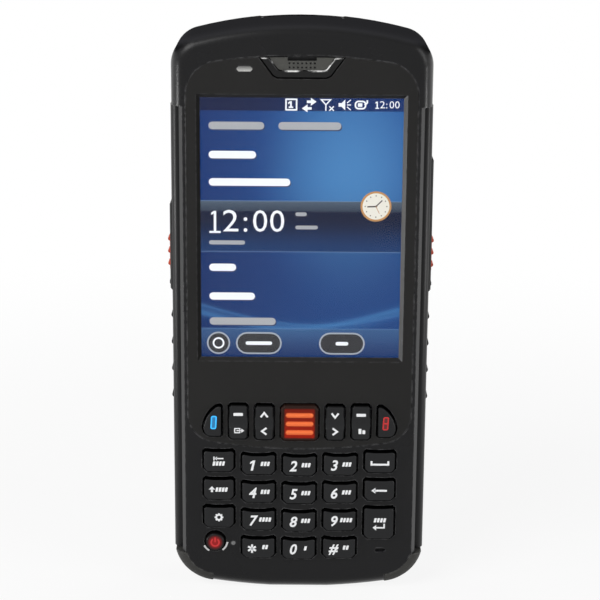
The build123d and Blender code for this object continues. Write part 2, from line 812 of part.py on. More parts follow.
# ---- Rubber grips: long strips with a raised pad round the side keys, and finger ribs ----
for side, name, pad_top in ((-1, "side_grip_left", pad_high), (1, "side_grip_right", pad_high_right)):
    outer = recess_x + grip_thickness
    with BuildPart() as grip:
        strip_low = grip_low + grip_end_gap
        with BuildSketch(level(strip_low)):
            with Locations((side * (recess_x + grip_thickness / 2), middle_y)):
                strip = Rectangle(grip_thickness, grip_depth)
            fillet(strip.vertices().sort_by(Axis.X, reverse=side < 0)[2:], grip_round)
        extrude(amount=grip_high - strip_low - grip_end_gap)
        with Locations((side * (recess_x + outer + pad_height) / 2, flank_key_y, (pad_low + pad_top) / 2)):
            Box(grip_thickness + pad_height, flank_key_depth + 2 * pad_border, pad_top - pad_low)
        pad_face = grip.faces().sort_by(Axis.X, reverse=side < 0)[-1]
        chamfer(pad_face.edges(), pad_slope)
        # Ridge at the lower end of the pad.
        ridge_x = side * (outer + pad_height + pad_ridge_proud - pad_ridge_radius)
        with BuildSketch(facing(flank_key_y + flank_key_depth / 2)):
            with Locations((ridge_x, pad_low + pad_ridge_from_end)):
                RegularPolygon(pad_ridge_radius, small_sides, rotation=180 / small_sides)
        extrude(amount=flank_key_depth)
        for z, length in side_windows(side, flank_gap):
            with Locations((side * outer, flank_key_y, z)):
                Box(4 * grip_thickness, flank_key_depth + 2 * flank_gap, length, mode=Mode.SUBTRACT)
        for index in range(rib_count):
            z = rib_first + index * rib_pitch
            with Locations(Location((side * (outer + rib_proud - rib_radius), middle_y, z), (90, 0, 0))):
                Cylinder(rib_radius, rib_length)
    finish(grip.part, name)

# ---- Glass with the touch panel, and the display behind it ----
with BuildPart() as touch_panel:
    with BuildSketch(facing(glass_back_y)):
        with Locations((0, window_centre)):
            add(border_outline(glass_border))
    extrude(amount=glass_thickness)
finish(touch_panel.part, "touch_panel")

with BuildPart() as display_module:
    with BuildSketch(facing(display_back_y)):
        with Locations((0, window_centre)):
            add(border_outline(display_border))
    extrude(amount=display_thickness)
finish(display_module.part, "display_module")

# ---- Receiver: sounder, grille with its slot and holes, and the glossy trim round it ----
with BuildPart() as receiver_trim:
    with BuildSketch(facing(plate_back_y)):
        add(trim_outer)
        add(trim_inner, mode=Mode.SUBTRACT)
    extrude(amount=plate_thickness - trim_below_plate)
    chamfer(receiver_trim.faces().sort_by(Axis.Y)[0].edges(), trim_chamfer)
finish(receiver_trim.part, "receiver_trim")

with BuildPart() as receiver_grille:
    with BuildSketch(facing(plate_back_y)):
        add(grille_outline)
        with Locations((0, receiver_high - grille_slot_height / 2)):
            Rectangle(grille_slot_width, grille_slot_height, mode=Mode.SUBTRACT)
        with Locations((0, receiver_low + trim_width + grille_low)):
            with GridLocations(grille_pitch, grille_pitch, grille_columns, grille_rows):
                Rectangle(grille_hole, grille_hole, mode=Mode.SUBTRACT)
    extrude(amount=grille_thickness)
finish(receiver_grille.part, "receiver_grille")

with BuildPart() as receiver_sounder:
    with BuildSketch(facing(wall_back_y + sounder_size[2])):
        with Locations((0, receiver_high - sounder_size[1] / 2 + sounder_above_slot)):
            Rectangle(*sounder_size[:2])
    extrude(amount=sounder_size[2])
finish(receiver_sounder.part, "receiver_sounder")

# ---- Small light windows, and the crescents beside the power key ----
with BuildPart() as light_lens:
    with BuildSketch(facing(plate_back_y)):
        with Locations(light_window[:2]):
            add(light_outline)
    extrude(amount=plate_thickness)
finish(light_lens.part, "light_lens")

with BuildPart() as status_lens:
    with BuildSketch(facing(key_back_y)):
        with Locations(status_centre):
            RegularPolygon(status_radius, status_sides)
    extrude(amount=key_back_y - front_y)
    with BuildSketch(facing(key_back_y)):
        with Locations(status_centre):
            Rectangle(*status_flange)
    extrude(amount=key_tab_thickness)
finish(status_lens.part, "status_lens")

with BuildPart() as power_crescents:
    with BuildSketch(facing(front_y + crescent_depth)):
        add(crescent_shape)
    extrude(amount=crescent_depth + crescent_proud)
finish(power_crescents.part, "power_crescents")

# ---- Keys that press straight in, each with two tabs behind the front wall ----
for name, (x, z, outline) in press_keys.items():
    with BuildPart() as key:
        with BuildSketch(facing(key_back_y)):
            with Locations((x, z)):
                add(outline)
        extrude(amount=key_back_y - key_top_y)
        chamfer(key.faces().sort_by(Axis.Y)[0].edges(), key_chamfer)
        reach = outline.bounding_box().size.X + 2 * key_tab
        with BuildSketch(facing(key_back_y)):
            with Locations((x, z)):
                Rectangle(reach, key_tab_height)
        extrude(amount=key_tab_thickness)
        if name == "key_scan":
            with BuildSketch(Plane.YZ.offset(x - scan_bar_half)):
                with Locations((key_top_y, z)):
                    with GridLocations(0, scan_bar_pitch, 1, 3):
                        RegularPolygon(scan_bar_radius, scan_bar_sides, rotation=180 / scan_bar_sides)
            extrude(amount=2 * scan_bar_half)
    finish(key.part, name)

# ---- Rocker keys, waisted in the middle, on a line of contact with the membrane ----
rocker_back_y = wall_back_y + membrane_clearance
for name, (x, z, outline) in rocker_keys.items():
    with BuildPart() as rocker:
        with BuildSketch(facing(rocker_back_y)):
            with Locations((x, z)):
                add(outline)
        extrude(amount=rocker_back_y - key_top_y)
        chamfer(rocker.faces().sort_by(Axis.Y)[0].edges(), key_chamfer)
        valley_y = key_top_y + rocker_valley - rocker_valley_radius
        with Locations(Location((x, valley_y, z), (0, 90, 0))):
            Cylinder(rocker_valley_radius, 2 * rocker_size[0], mode=Mode.SUBTRACT)
    finish(rocker.part, name)

# ---- Keys on the sides ----
flank_outer_x = recess_x + grip_thickness + pad_height + flank_key_proud
flank_inner_x = cavity_half_width
for side, name in ((-1, "side_scan_left"), (1, "side_scan_right")):
    with BuildPart() as flank_key:
        with Locations((side * (flank_inner_x + flank_outer_x) / 2, flank_key_y, scan_flank_centre)):
            Box(flank_outer_x - flank_inner_x, flank_key_depth, scan_flank_length)
        chamfer(flank_key.faces().sort_by(Axis.X, reverse=side < 0)[-1].edges(), flank_chamfer)
        with Locations((side * (flank_inner_x - flank_tab / 2), flank_key_y, scan_flank_centre)):
            Box(flank_tab, flank_key_depth, scan_flank_length + 2 * flank_tab)
        flank_rib_length = flank_key_depth - 2 * flank_chamfer
        with BuildSketch(facing(flank_key_y + flank_rib_length / 2)):
            with Locations((side * flank_outer_x, scan_flank_centre)):
                with GridLocations(0, scan_flank_rib_pitch, 1, 3):
                    RegularPolygon(flank_rib_radius, small_sides, rotation=180 / small_sides)
        extrude(amount=flank_rib_length)
    finish(flank_key.part, name)

with BuildPart() as volume_rocker:
    volume_outer_x = flank_outer_x - flank_key_proud
    with Locations(((flank_inner_x + volume_outer_x) / 2, flank_key_y, volume_centre)):
        Box(volume_outer_x - flank_inner_x, flank_key_depth, volume_length)
    chamfer(volume_rocker.faces().sort_by(Axis.X)[-1].edges(), flank_chamfer)
finish(volume_rocker.part, "volume_rocker")

# ---- Key membrane, main board and the frame that holds the battery ----
with BuildPart() as key_membrane:
    with BuildSketch(facing(display_back_y)):
        with Locations((0, (membrane_low + membrane_high) / 2)):
            add(
                cut_rectangle(
                    2 * membrane_half_width, membrane_high - membrane_low, membrane_cut, membrane_cut
                )
            )
    extrude(amount=membrane_thickness)
    with BuildSketch(facing(membrane_front_y)):
        for x, z, outline in press_keys.values():
            with Locations((x, z)):
                Rectangle(membrane_pad, membrane_pad)
    extrude(amount=membrane_front_y - key_back_y - key_travel - membrane_clearance)
    with BuildSketch(facing(membrane_front_y)):
        for x, z, outline in rocker_keys.values():
            with Locations((x, z)):
                Rectangle(membrane_pad, membrane_pad / 4)
    extrude(amount=membrane_front_y - rocker_back_y - flank_gap)
finish(key_membrane.part, "key_membrane")


board_shape = cut_rectangle(2 * board_half_width, board_high - board_low, *board_cuts)
battery_outline = cut_rectangle(*battery_size[:2], battery_cut, battery_cut)
board_middle = (board_low + board_high) / 2
tray_half = (battery_size[0] / 2 + battery_play + tray_wall, battery_size[1] / 2 + battery_play + tray_wall)
tray_middle = battery_low + battery_size[1] / 2

with BuildPart() as main_board:
    with BuildSketch(facing(board_back_y)):
        with Locations((0, board_middle)):
            add(board_shape)
    extrude(amount=board_thickness)
    # Shield cans, in the hollow of the frame.
    for x, place, width, height in shield_cans:
        z = battery_low + place * battery_size[1]
        with Locations((x, board_back_y - can_sink + can_height / 2, z)):
            Box(width, can_height, height * battery_size[1])
finish(main_board.part, "main_board")

with BuildPart() as inner_frame:
    with BuildSketch(facing(frame_back_y)):
        with Locations((0, board_middle)):
            add(board_shape)
    extrude(amount=frame_thickness)
    with BuildSketch(facing(tray_rim_y)):
        with Locations((0, tray_middle)):
            add(cut_rectangle(2 * tray_half[0], 2 * tray_half[1], battery_cut, battery_cut))
    extrude(amount=tray_rim_y - frame_back_y)
    with BuildSketch(facing(tray_rim_y)):
        with Locations((0, tray_middle)):
            add(grown(battery_outline, battery_play))
    extrude(amount=tray_depth, mode=Mode.SUBTRACT)
    with BuildSketch(facing(battery_front_y - tray_floor)):
        with Locations((0, tray_middle)):
            Rectangle(battery_size[0] - 2 * tray_ledge, battery_size[1] - 2 * tray_ledge)
    extrude(amount=battery_front_y - tray_floor - board_back_y, mode=Mode.SUBTRACT)
finish(inner_frame.part, "inner_frame")

# ---- Battery pack ----
with BuildPart() as battery_pack:
    with BuildSketch(facing(battery_back_y)):
        with Locations((0, tray_middle)):
            add(battery_outline)
    extrude(amount=battery_size[2])
    chamfer(battery_pack.faces().sort_by(Axis.Y)[-1].edges(), battery_chamfer)
finish(battery_pack.part, "battery_pack")

# ---- Battery cover with its hinge barrel; the latch slides in its lower end ----
thumb_y = back_y - latch_thumb
latch_recess_low = latch_low - latch_travel
with BuildPart() as battery_cover:
    cover_high = bay_high - neck_gap
    with BuildSketch(facing(back_y)):
        with Locations((0, (cover_low + cover_high) / 2)):
            RectangleRounded(2 * cover_half_width, cover_high - cover_low, cover_corner)
        with Locations((0, (cover_high - cover_corner + hinge_z) / 2)):
            Rectangle(2 * barrel_half, hinge_z - cover_high + cover_corner)
    extrude(amount=cover_thickness)
    with Locations(Location((0, hinge_y, hinge_z), (0, 90, 0))):
        Cylinder(barrel_radius, 2 * barrel_half)
        Cylinder(pin_radius + pin_gap, 2 * barrel_half, mode=Mode.SUBTRACT)
    # Recess for the thumb slide, and the slot that its stem runs in.
    recess_top = latch_low + latch_height + latch_gap
    with BuildSketch(facing(back_y)):
        with Locations((0, (latch_recess_low - latch_gap + recess_top) / 2)):
            Rectangle(2 * (latch_half_width + latch_gap), recess_top - latch_recess_low + latch_gap)
    extrude(amount=latch_thumb, mode=Mode.SUBTRACT)
    stem_low = latch_low + latch_height / 2 - latch_stem_half / 2
    with BuildSketch(facing(back_y)):
        with Locations((0, stem_low + (latch_stem_half - latch_travel) / 2)):
            Rectangle(2 * (latch_stem_half + latch_gap), latch_stem_half + latch_travel + 2 * latch_gap)
    extrude(amount=2 * cover_thickness, mode=Mode.SUBTRACT)
finish(battery_cover.part, "battery_cover")

with BuildPart() as hinge_pin:
    with Locations(Location((0, hinge_y, hinge_z), (0, 90, 0))):
        Cylinder(pin_radius, 2 * pin_half)
finish(hinge_pin.part, "hinge_pin")

with BuildPart() as battery_latch:
    with BuildSketch(facing(thumb_y)):
        with Locations((0, latch_low + latch_height / 2)):
            add(cut_rectangle(2 * latch_half_width, latch_height, latch_cut, latch_cut))
    extrude(amount=-(latch_thumb + latch_proud))
    # Grip ridges.
    for index in (-1, 0, 1):
        with Locations((0, back_y + latch_proud, latch_low + latch_height / 2 + index * latch_ridge_pitch)):
            Box(2 * latch_ridge_share * latch_half_width, 2 * latch_ridge, latch_ridge_pitch / 2)
    with Locations((0, (thumb_y + tongue_y) / 2, stem_low + latch_stem_half / 2)):
        Box(2 * latch_stem_half, thumb_y - tongue_y, latch_stem_half)
    plate_top = stem_low + latch_stem_half + latch_plate_over
    tongue_low = cover_low + latch_gap
    with Locations((0, tongue_y, (tongue_low + plate_top) / 2)):
        Box(2 * latch_plate_half, latch_plate, plate_top - tongue_low)
finish(battery_latch.part, "battery_latch")

# ---- Scan window and engine in the top end ----
with BuildPart() as scan_window:
    with BuildSketch(level(scan_floor_z)):
        with Locations((0, scan_window_y)):
            add(scan_window_outline)
    extrude(amount=scan_window_thickness)
finish(scan_window.part, "scan_window")

engine_high = cavity_high - sag(top_arc, engine_size[0] / 2) - flank_gap
with BuildPart() as scan_engine:
    with Locations((0, rear_inner_y - engine_size[1] / 2, engine_high - engine_size[2] / 2)):
        Box(*engine_size)
    # Lens barrel and aiming light look out through the top.
    for x, radius, depth in (engine_lens, engine_light):
        with BuildSketch(level(engine_high)):
            with Locations((x, rear_inner_y - engine_size[1] / 2)):
                RegularPolygon(radius, round_sides)
        extrude(amount=-depth, mode=Mode.SUBTRACT)
finish(scan_engine.part, "scan_engine")

# ---- Camera and loudspeaker behind the back wall ----
with BuildPart() as camera_glass:
    with BuildSketch(facing(back_y)):
        with Locations((0, camera_z)):
            add(camera_outline)
    extrude(amount=camera_window_thickness)
finish(camera_glass.part, "camera_glass")

with BuildPart() as camera_unit:
    with Locations((camera_offset, rear_inner_y - camera_depth / 2, camera_z)):
        Box(camera_module, camera_depth, camera_module)
    with BuildSketch(facing(back_y - camera_window_thickness - lens_gap)):
        with Locations((camera_offset, camera_z)):
            RegularPolygon(camera_radius - flank_gap, round_sides)
    extrude(amount=back_y - camera_window_thickness - lens_gap - rear_inner_y)
    with BuildSketch(facing(back_y - camera_window_thickness - lens_gap)):
        with Locations((camera_offset, camera_z)):
            RegularPolygon(camera_radius / 2, small_sides)
    extrude(amount=camera_bore, mode=Mode.SUBTRACT)
finish(camera_unit.part, "camera_unit")

with BuildPart() as loudspeaker:
    with BuildSketch(facing(rear_inner_y)):
        with Locations((0, speaker_z)):
            RegularPolygon(speaker_radius, round_sides)
    extrude(amount=speaker_depth)
finish(loudspeaker.part, "loudspeaker")

# ---- Dock connector in the bottom end ----
with BuildPart() as dock_connector:
    nose_low = dock_wall
    body_low = cavity_low + sag(bottom_arc, dock_width / 2 + dock_wall)
    with Locations((0, dock_y, (nose_low + body_low) / 2)):
        Box(dock_width - 2 * seat_gap, dock_height - 2 * seat_gap, body_low - nose_low)
    with Locations((0, dock_y, body_low + dock_depth / 2)):
        Box(dock_width + 2 * dock_wall, dock_height + 2 * dock_wall, dock_depth)
    with Locations((0, dock_y, nose_low + dock_depth / 2)):
        Box(dock_width - 2 * dock_wall, dock_height - 2 * dock_wall, dock_depth, mode=Mode.SUBTRACT)
    with Locations((0, dock_y, nose_low + dock_depth / 2 + dock_wall / 2)):
        Box(dock_width - 4 * dock_wall, dock_tongue, dock_depth - dock_wall)
finish(dock_connector.part, "dock_connector")

# ---- Screws ----
with BuildPart() as housing_screws:
    head_y = back_y - screw_sink
    with BuildSketch(facing(head_y)):
        with Locations(*screw_spots):
            RegularPolygon(screw_head_radius, round_sides)
    extrude(amount=screw_head_height)
    with BuildSketch(facing(head_y - screw_head_height)):
        with Locations(*screw_spots):
            RegularPolygon(screw_radius, small_sides)
    extrude(amount=head_y - screw_head_height - seam_y + screw_engagement)
    with BuildSketch(facing(head_y)):
        with Locations(*screw_spots):
            Rectangle(4 * recess_drive, recess_drive)
            Rectangle(recess_drive, 4 * recess_drive)
    extrude(amount=screw_head_height / 2, mode=Mode.SUBTRACT)
finish(housing_screws.part, "housing_screws")
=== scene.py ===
"""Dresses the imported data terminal: finishes, key legends, a lit screen, small parts and the stage."""

from math import cos, pi, radians, sin

import bmesh
import bpy
from mathutils import Matrix, Vector


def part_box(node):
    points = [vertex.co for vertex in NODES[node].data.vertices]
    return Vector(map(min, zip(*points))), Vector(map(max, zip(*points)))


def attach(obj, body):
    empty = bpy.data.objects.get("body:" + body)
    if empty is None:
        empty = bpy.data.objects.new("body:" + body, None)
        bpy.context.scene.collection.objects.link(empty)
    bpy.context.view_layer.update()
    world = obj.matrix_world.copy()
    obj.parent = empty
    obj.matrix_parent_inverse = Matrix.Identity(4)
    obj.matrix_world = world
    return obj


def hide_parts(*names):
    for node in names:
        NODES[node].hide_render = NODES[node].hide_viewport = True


bl_info = {
    "name": "Data terminal",
    "version": (1, 0, 0),
    "blender": (4, 5, 0),
    "location": "View3D > Sidebar > Terminal",
    "description": "Finishes, legends, screen and stage of a portable data terminal",
    "category": "Object",
}

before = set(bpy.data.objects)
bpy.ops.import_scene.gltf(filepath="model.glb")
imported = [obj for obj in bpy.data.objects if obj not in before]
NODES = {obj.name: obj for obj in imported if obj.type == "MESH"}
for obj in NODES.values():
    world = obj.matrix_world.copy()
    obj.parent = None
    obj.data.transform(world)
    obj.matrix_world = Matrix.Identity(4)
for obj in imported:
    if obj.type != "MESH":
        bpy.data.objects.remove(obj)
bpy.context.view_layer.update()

MM = 0.001

# ---- Places taken from the frame ----
FRONT_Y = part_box("front_housing")[0].y
GLASS_BACK_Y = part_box("touch_panel")[1].y
KEY_TOP_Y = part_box("key_1")[0].y
KEY_TAB = 0.8 * MM  # behind the front wall, on each side of a key
PANEL_LOW, PANEL_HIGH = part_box("display_module")
PANEL_BORDER = 2.2 * MM
SCREEN_LEFT = PANEL_LOW.x + PANEL_BORDER
SCREEN_WIDTH = PANEL_HIGH.x - PANEL_BORDER - SCREEN_LEFT
SCREEN_TOP = PANEL_HIGH.z - PANEL_BORDER
SCREEN_HEIGHT = SCREEN_TOP - PANEL_LOW.z - PANEL_BORDER

# ---- Keys of one kind ----
DIGIT_KEYS = ["key_%d" % digit for digit in range(10)] + ["key_star", "key_hash"]
WORD_KEYS = ["key_tab", "key_shift", "key_backlight", "key_space", "key_backspace", "key_enter"]
ROCKERS = ["rocker_outer_left", "rocker_inner_left", "rocker_inner_right", "rocker_outer_right"]
MOON_KEYS = ["key_soft_left", "key_soft_right"]

# ---- Tones and levels with a name ----
BLACK = (0.0, 0.0, 0.0)
SCUFF_AND_HIGHLIGHT = (0.115, 0.115, 0.118)  # worn edges of the black housings, made lighter also as a painted highlight along the edges
WORLD_LIGHT = 0.065  # on the object; the world is white where it is seen or mirrored
FLOOR_LIGHT = 0.88  # share of plain white in the floor beside the terminal


def centre(name):
    """Middle of a CAD node's box, and its face toward the reader as y."""
    low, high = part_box(name)
    return Vector(((low.x + high.x) / 2, low.y, (low.z + high.z) / 2))


# ---- What a user would change ----
def colour(name, description, default):
    return bpy.props.FloatVectorProperty(
        name=name, description=description, subtype="COLOR", size=3, min=0.0, max=1.0, default=default
    )


def length(name, description, default):
    return bpy.props.FloatProperty(
        name=name, description=description, unit="LENGTH", subtype="DISTANCE", default=default
    )


def share(name, description, default):
    return bpy.props.FloatProperty(
        name=name, description=description, subtype="FACTOR", min=0.0, max=1.0, default=default
    )


def tilt(name, description, degrees):
    return bpy.props.FloatProperty(
        name=name, description=description, subtype="ANGLE", unit="ROTATION", default=radians(degrees)
    )


class TerminalFinishes(bpy.types.PropertyGroup):
    housing: colour("Housing", "Moulded housings and the battery cover", (0.0063, 0.0063, 0.0069))
    bezel: colour("Bezel", "Plate round the display", (0.0095, 0.0092, 0.0088))
    rubber: colour("Rubber", "Grips on the sides", (0.0072, 0.0072, 0.0078))
    bumper: colour("Bumpers", "Rubber on the lower corners", (0.0300, 0.0296, 0.0273))
    keys: colour("Keys", "Caps of the keypad", (0.0074, 0.0077, 0.0085))
    orange: colour("Orange", "Scan keys", (0.62, 0.055, 0.008))
    legend: colour("Legends", "Print on the keys", (0.86, 0.87, 0.88))
    blue: colour("Blue mark", "Mark on the left function key", (0.030, 0.380, 0.850))
    red: colour("Red mark", "Marks on the right function key and the power key", (0.620, 0.020, 0.022))
    chrome: colour("Chrome", "Crescents beside the power key", (0.61, 0.61, 0.61))
    edge: length("Edge", "Roundness of the moulded edges", 0.25 * MM)
    key_edge: length("Key edge", "Roundness of the key caps", 0.42 * MM)
    grain: length("Grain", "Size of the moulding grain", 0.28 * MM)


class TerminalScreen(bpy.types.PropertyGroup):
    deep: colour("Deep blue", "Wallpaper away from the glow", (0.0, 0.0260, 0.150))
    middle: colour("Middle blue", "Wallpaper toward the middle", (0.0040, 0.0700, 0.280))
    glow: colour("Glow", "Bright part of the wallpaper", (0.0560, 0.2150, 0.490))
    bar: colour("Status bar", "Strip at the top of the screen", (0.0, 0.006, 0.050))
    band: colour("Clock band", "Dark band behind the time", (0.0, 0.004, 0.030))
    ink: colour("Ink", "Digits, icons and lines", (0.88, 0.91, 0.96))
    status_height: share("Status bar height", "Share of the screen's height", 0.052)
    band_top: share("Band top", "From the top, as a share of the height", 0.394)
    band_low: share("Band bottom", "From the top, as a share of the height", 0.590)
    foot_top: share("Foot bar top", "From the top, as a share of the height", 0.893)


class TerminalStage(bpy.types.PropertyGroup):
    distance: length("Camera distance", "From the front face", 0.495)
    elevation: tilt("Elevation", "How far the camera is above the level of its target", 15.0)
    roll: tilt("Roll", "Lean of the camera", 0.41)
    focal: bpy.props.FloatProperty(
        name="Focal length", description="Of the lens", subtype="DISTANCE_CAMERA", unit="CAMERA",
        default=110.64,
    )
    target_height: length("Target height", "Of the point in the middle of the picture", 0.08395)
    target_aside: length("Target aside", "Of the same point, to the right", -0.13 * MM)
    floor: colour("Floor", "Plain pale floor", (0.88, 0.88, 0.88))


# ---- Shader helpers ----
class Graph:
    """A node tree with short ways to add nodes, links and sums."""

    def __init__(self, tree):
        self.tree = tree

    def add(self, kind, **settings):
        node = self.tree.nodes.new(kind)
        for key, value in settings.items():
            setattr(node, key, value)
        return node

    def link(self, source, target):
        self.tree.links.new(source, target)

    def put(self, socket, value):
        """Links a socket to another, or sets it to a number or a colour."""
        if isinstance(value, bpy.types.NodeSocket):
            self.link(value, socket)
        elif socket.type == "RGBA":
            socket.default_value = (*value, 1.0)
        else:
            socket.default_value = value

    def feed(self, node, values):
        """Puts each value on the node's input of that name."""
        for name, value in values.items():
            self.put(node.inputs[name], value)

    def math(self, operation, *values, clamp=False):
        node = self.add("ShaderNodeMath", operation=operation, use_clamp=clamp)
        for socket, value in zip(node.inputs, values):
            self.put(socket, value)
        return node.outputs[0]

    def minus(self, a, b):
        return self.math("SUBTRACT", a, b)

    def times(self, a, b, clamp=False):
        return self.math("MULTIPLY", a, b, clamp=clamp)

    def times_plus(self, a, b, c, clamp=False):
        """a times b, plus c."""
        return self.math("MULTIPLY_ADD", a, b, c, clamp=clamp)

    def gap(self, a, b):
        """How far apart two values are."""
        return self.math("ABSOLUTE", self.minus(a, b))

    def reach(self, a, b):
        """Length of a line, from its two parts."""
        return self.math("SQRT", self.times_plus(a, a, self.times(b, b)))

    def ramp(self, value, low, high):
        """0 at low and 1 at high, with soft ends; low may be the larger."""
        node = self.add("ShaderNodeMapRange", interpolation_type="SMOOTHSTEP")
        self.feed(node, {"Value": value, "From Min": low, "From Max": high})
        return node.outputs["Result"]

    def mix(self, factor, a, b):
        """The colour a where the factor is 0, and b where it is 1."""
        node = self.add("ShaderNodeMix", data_type="RGBA")
        self.put(node.inputs["Factor"], factor)
        colours = [socket for socket in node.inputs if socket.type == "RGBA"]
        for socket, colour_there in zip(colours, (a, b)):
            self.put(socket, colour_there)
        return next(socket for socket in node.outputs if socket.type == "RGBA")

    def spot(self):
        """The place in metres, fixed to the piece."""
        return self.add("ShaderNodeTexCoord").outputs["Object"]

    def parts(self, vector):
        """X, Y and Z of a vector."""
        split = self.add("ShaderNodeSeparateXYZ")
        self.link(vector, split.inputs[0])
        return split.outputs

    def place(self):
        """X, Y and Z of the place in metres, fixed to the piece."""
        return self.parts(self.spot())

    def facing(self):
        """X, Y and Z of the way that a face looks."""
        return self.parts(self.add("ShaderNodeNewGeometry").outputs["Normal"])

    def front(self, low, high):
        """0 on faces turned away from the front and 1 on those that face it.

        It is no group, because it also sets specular levels."""
        return self.ramp(self.times(self.facing()[1], -1.0), low, high)

    def noise(self, scale, detail):
        node = self.add("ShaderNodeTexNoise")
        self.feed(node, {"Vector": self.spot(), "Scale": scale, "Detail": detail})
        return node.outputs["Fac"]

    def group(self, name, **values):
        """The outputs of a shared effect, placed with its own values."""
        node = self.add("ShaderNodeGroup", node_tree=bpy.data.node_groups[name])
        self.feed(node, {label.replace("_", " "): value for label, value in values.items()})
        return node.outputs

    def patches(self, size, contrast=1.0):
        """Slow patches of handling alone, as a value round a half."""
        return self.group("Handling", Size=size, Contrast=contrast)["Patches"]

    def seen(self):
        """1 for rays that show a surface itself: in the picture, in gloss or through glass."""
        rays = self.add("ShaderNodeLightPath").outputs
        seen = self.math("MAXIMUM", rays["Is Camera Ray"], rays["Is Transmission Ray"])
        return self.math("MAXIMUM", seen, rays["Is Glossy Ray"])


def scaled(tone, gain, lift=0.0):
    """A colour times a gain, or times one for each of its three numbers, plus a lift."""
    gains = gain if isinstance(gain, tuple) else (gain,) * 3
    return tuple(min(1.0, value * each + lift) for value, each in zip(tone, gains))


# ---- Effects shared by the materials ----
def new_group(name, inputs, outputs):
    """A shader group with named number inputs, as its graph, its inputs and its output node."""
    tree = bpy.data.node_groups.new(name, "ShaderNodeTree")
    for label, default in inputs.items():
        socket = tree.interface.new_socket(label, in_out="INPUT", socket_type="NodeSocketFloat")
        socket.default_value = default
    for label in outputs:
        tree.interface.new_socket(label, in_out="OUTPUT", socket_type="NodeSocketFloat")
    graph = Graph(tree)
    given = graph.add("NodeGroupInput").outputs
    result = graph.add("NodeGroupOutput").inputs
    return graph, given, result


def grain_group():
    """Fine moulded grain with a slow swell under it."""
    graph, given, result = new_group("Moulded Grain", {"Cells": 3000.0, "Swell": 0.25}, ["Height"])
    fine = graph.add("ShaderNodeTexVoronoi", feature="SMOOTH_F1")
    graph.feed(fine, {"Vector": graph.spot(), "Scale": given["Cells"]})
    slow = graph.noise(90.0, 2.0)
    graph.link(graph.times_plus(slow, given["Swell"], fine.outputs["Distance"]), result["Height"])


def wear_group():
    """Mask of the outer edges, broken up by noise, where handling has polished or scuffed them."""
    graph, given, result = new_group(
        "Edge Wear", {"Radius": 0.4 * MM, "Amount": 0.5, "Breakup": 700.0}, ["Mask"]
    )
    rounded_normal = graph.add("ShaderNodeBevel", samples=4)
    graph.link(given["Radius"], rounded_normal.inputs["Radius"])
    alike = graph.add("ShaderNodeVectorMath", operation="DOT_PRODUCT")
    graph.link(rounded_normal.outputs["Normal"], alike.inputs[0])
    graph.link(graph.add("ShaderNodeNewGeometry").outputs["Normal"], alike.inputs[1])
    edge = graph.ramp(alike.outputs["Value"], 0.995, 0.90)
    broken = graph.ramp(graph.noise(given["Breakup"], 4.0), 0.38, 0.62)
    graph.link(graph.times(graph.times(edge, broken), given["Amount"], clamp=True), result["Mask"])


def handling_group():
    """Slow patches of finger grease, as a value round a half, and a mask of dust specks."""
    graph, given, result = new_group("Handling", {"Size": 0.02, "Contrast": 1.0}, ["Patches", "Specks"])
    slow = graph.noise(graph.math("DIVIDE", 1.0, given["Size"]), 5.0)
    centred = graph.minus(slow, 0.5)
    graph.link(graph.times_plus(centred, given["Contrast"], 0.5), result["Patches"])
    graph.link(graph.ramp(graph.noise(2600.0, 1.0), 0.72, 0.80), result["Specks"])


def panel_group():
    """Mask of a rounded rectangle seen from the front, with a soft edge."""
    graph, given, result = new_group(
        "Panel Mask",
        {"Centre X": 0.0, "Centre Z": 0.0, "Half Width": 10 * MM, "Half Height": 10 * MM,
         "Corner": 1 * MM, "Softness": 0.1 * MM},
        ["Mask"],
    )
    x, _, z = graph.place()
    past_corner = []
    for place, middle, half in ((x, "Centre X", "Half Width"), (z, "Centre Z", "Half Height")):
        room = graph.minus(given[half], given["Corner"])
        away = graph.minus(graph.gap(place, given[middle]), room)
        past_corner.append(graph.math("MAXIMUM", away, 0.0))
    outside = graph.minus(graph.reach(*past_corner), given["Corner"])
    soft = given["Softness"]
    graph.link(graph.ramp(outside, soft, graph.times(soft, -1.0)), result["Mask"])


# ---- Materials ----
def material(name):
    """A new material, as its graph and its Principled shader."""
    made = bpy.data.materials.new("finish_" + name)
    made.use_nodes = True
    return Graph(made.node_tree), made.node_tree.nodes["Principled BSDF"]


def finish_of(name):
    return bpy.data.materials["finish_" + name]


def add_grain(graph, shader, depth, cells, swell):
    """Bumps a surface with the shared grain, by its depth and its cells to a metre."""
    bump = graph.add("ShaderNodeBump")
    height = graph.group("Moulded Grain", Cells=cells, Swell=swell)["Height"]
    graph.feed(bump, {"Distance": depth, "Height": height})
    graph.link(bump.outputs["Normal"], shader.inputs["Normal"])


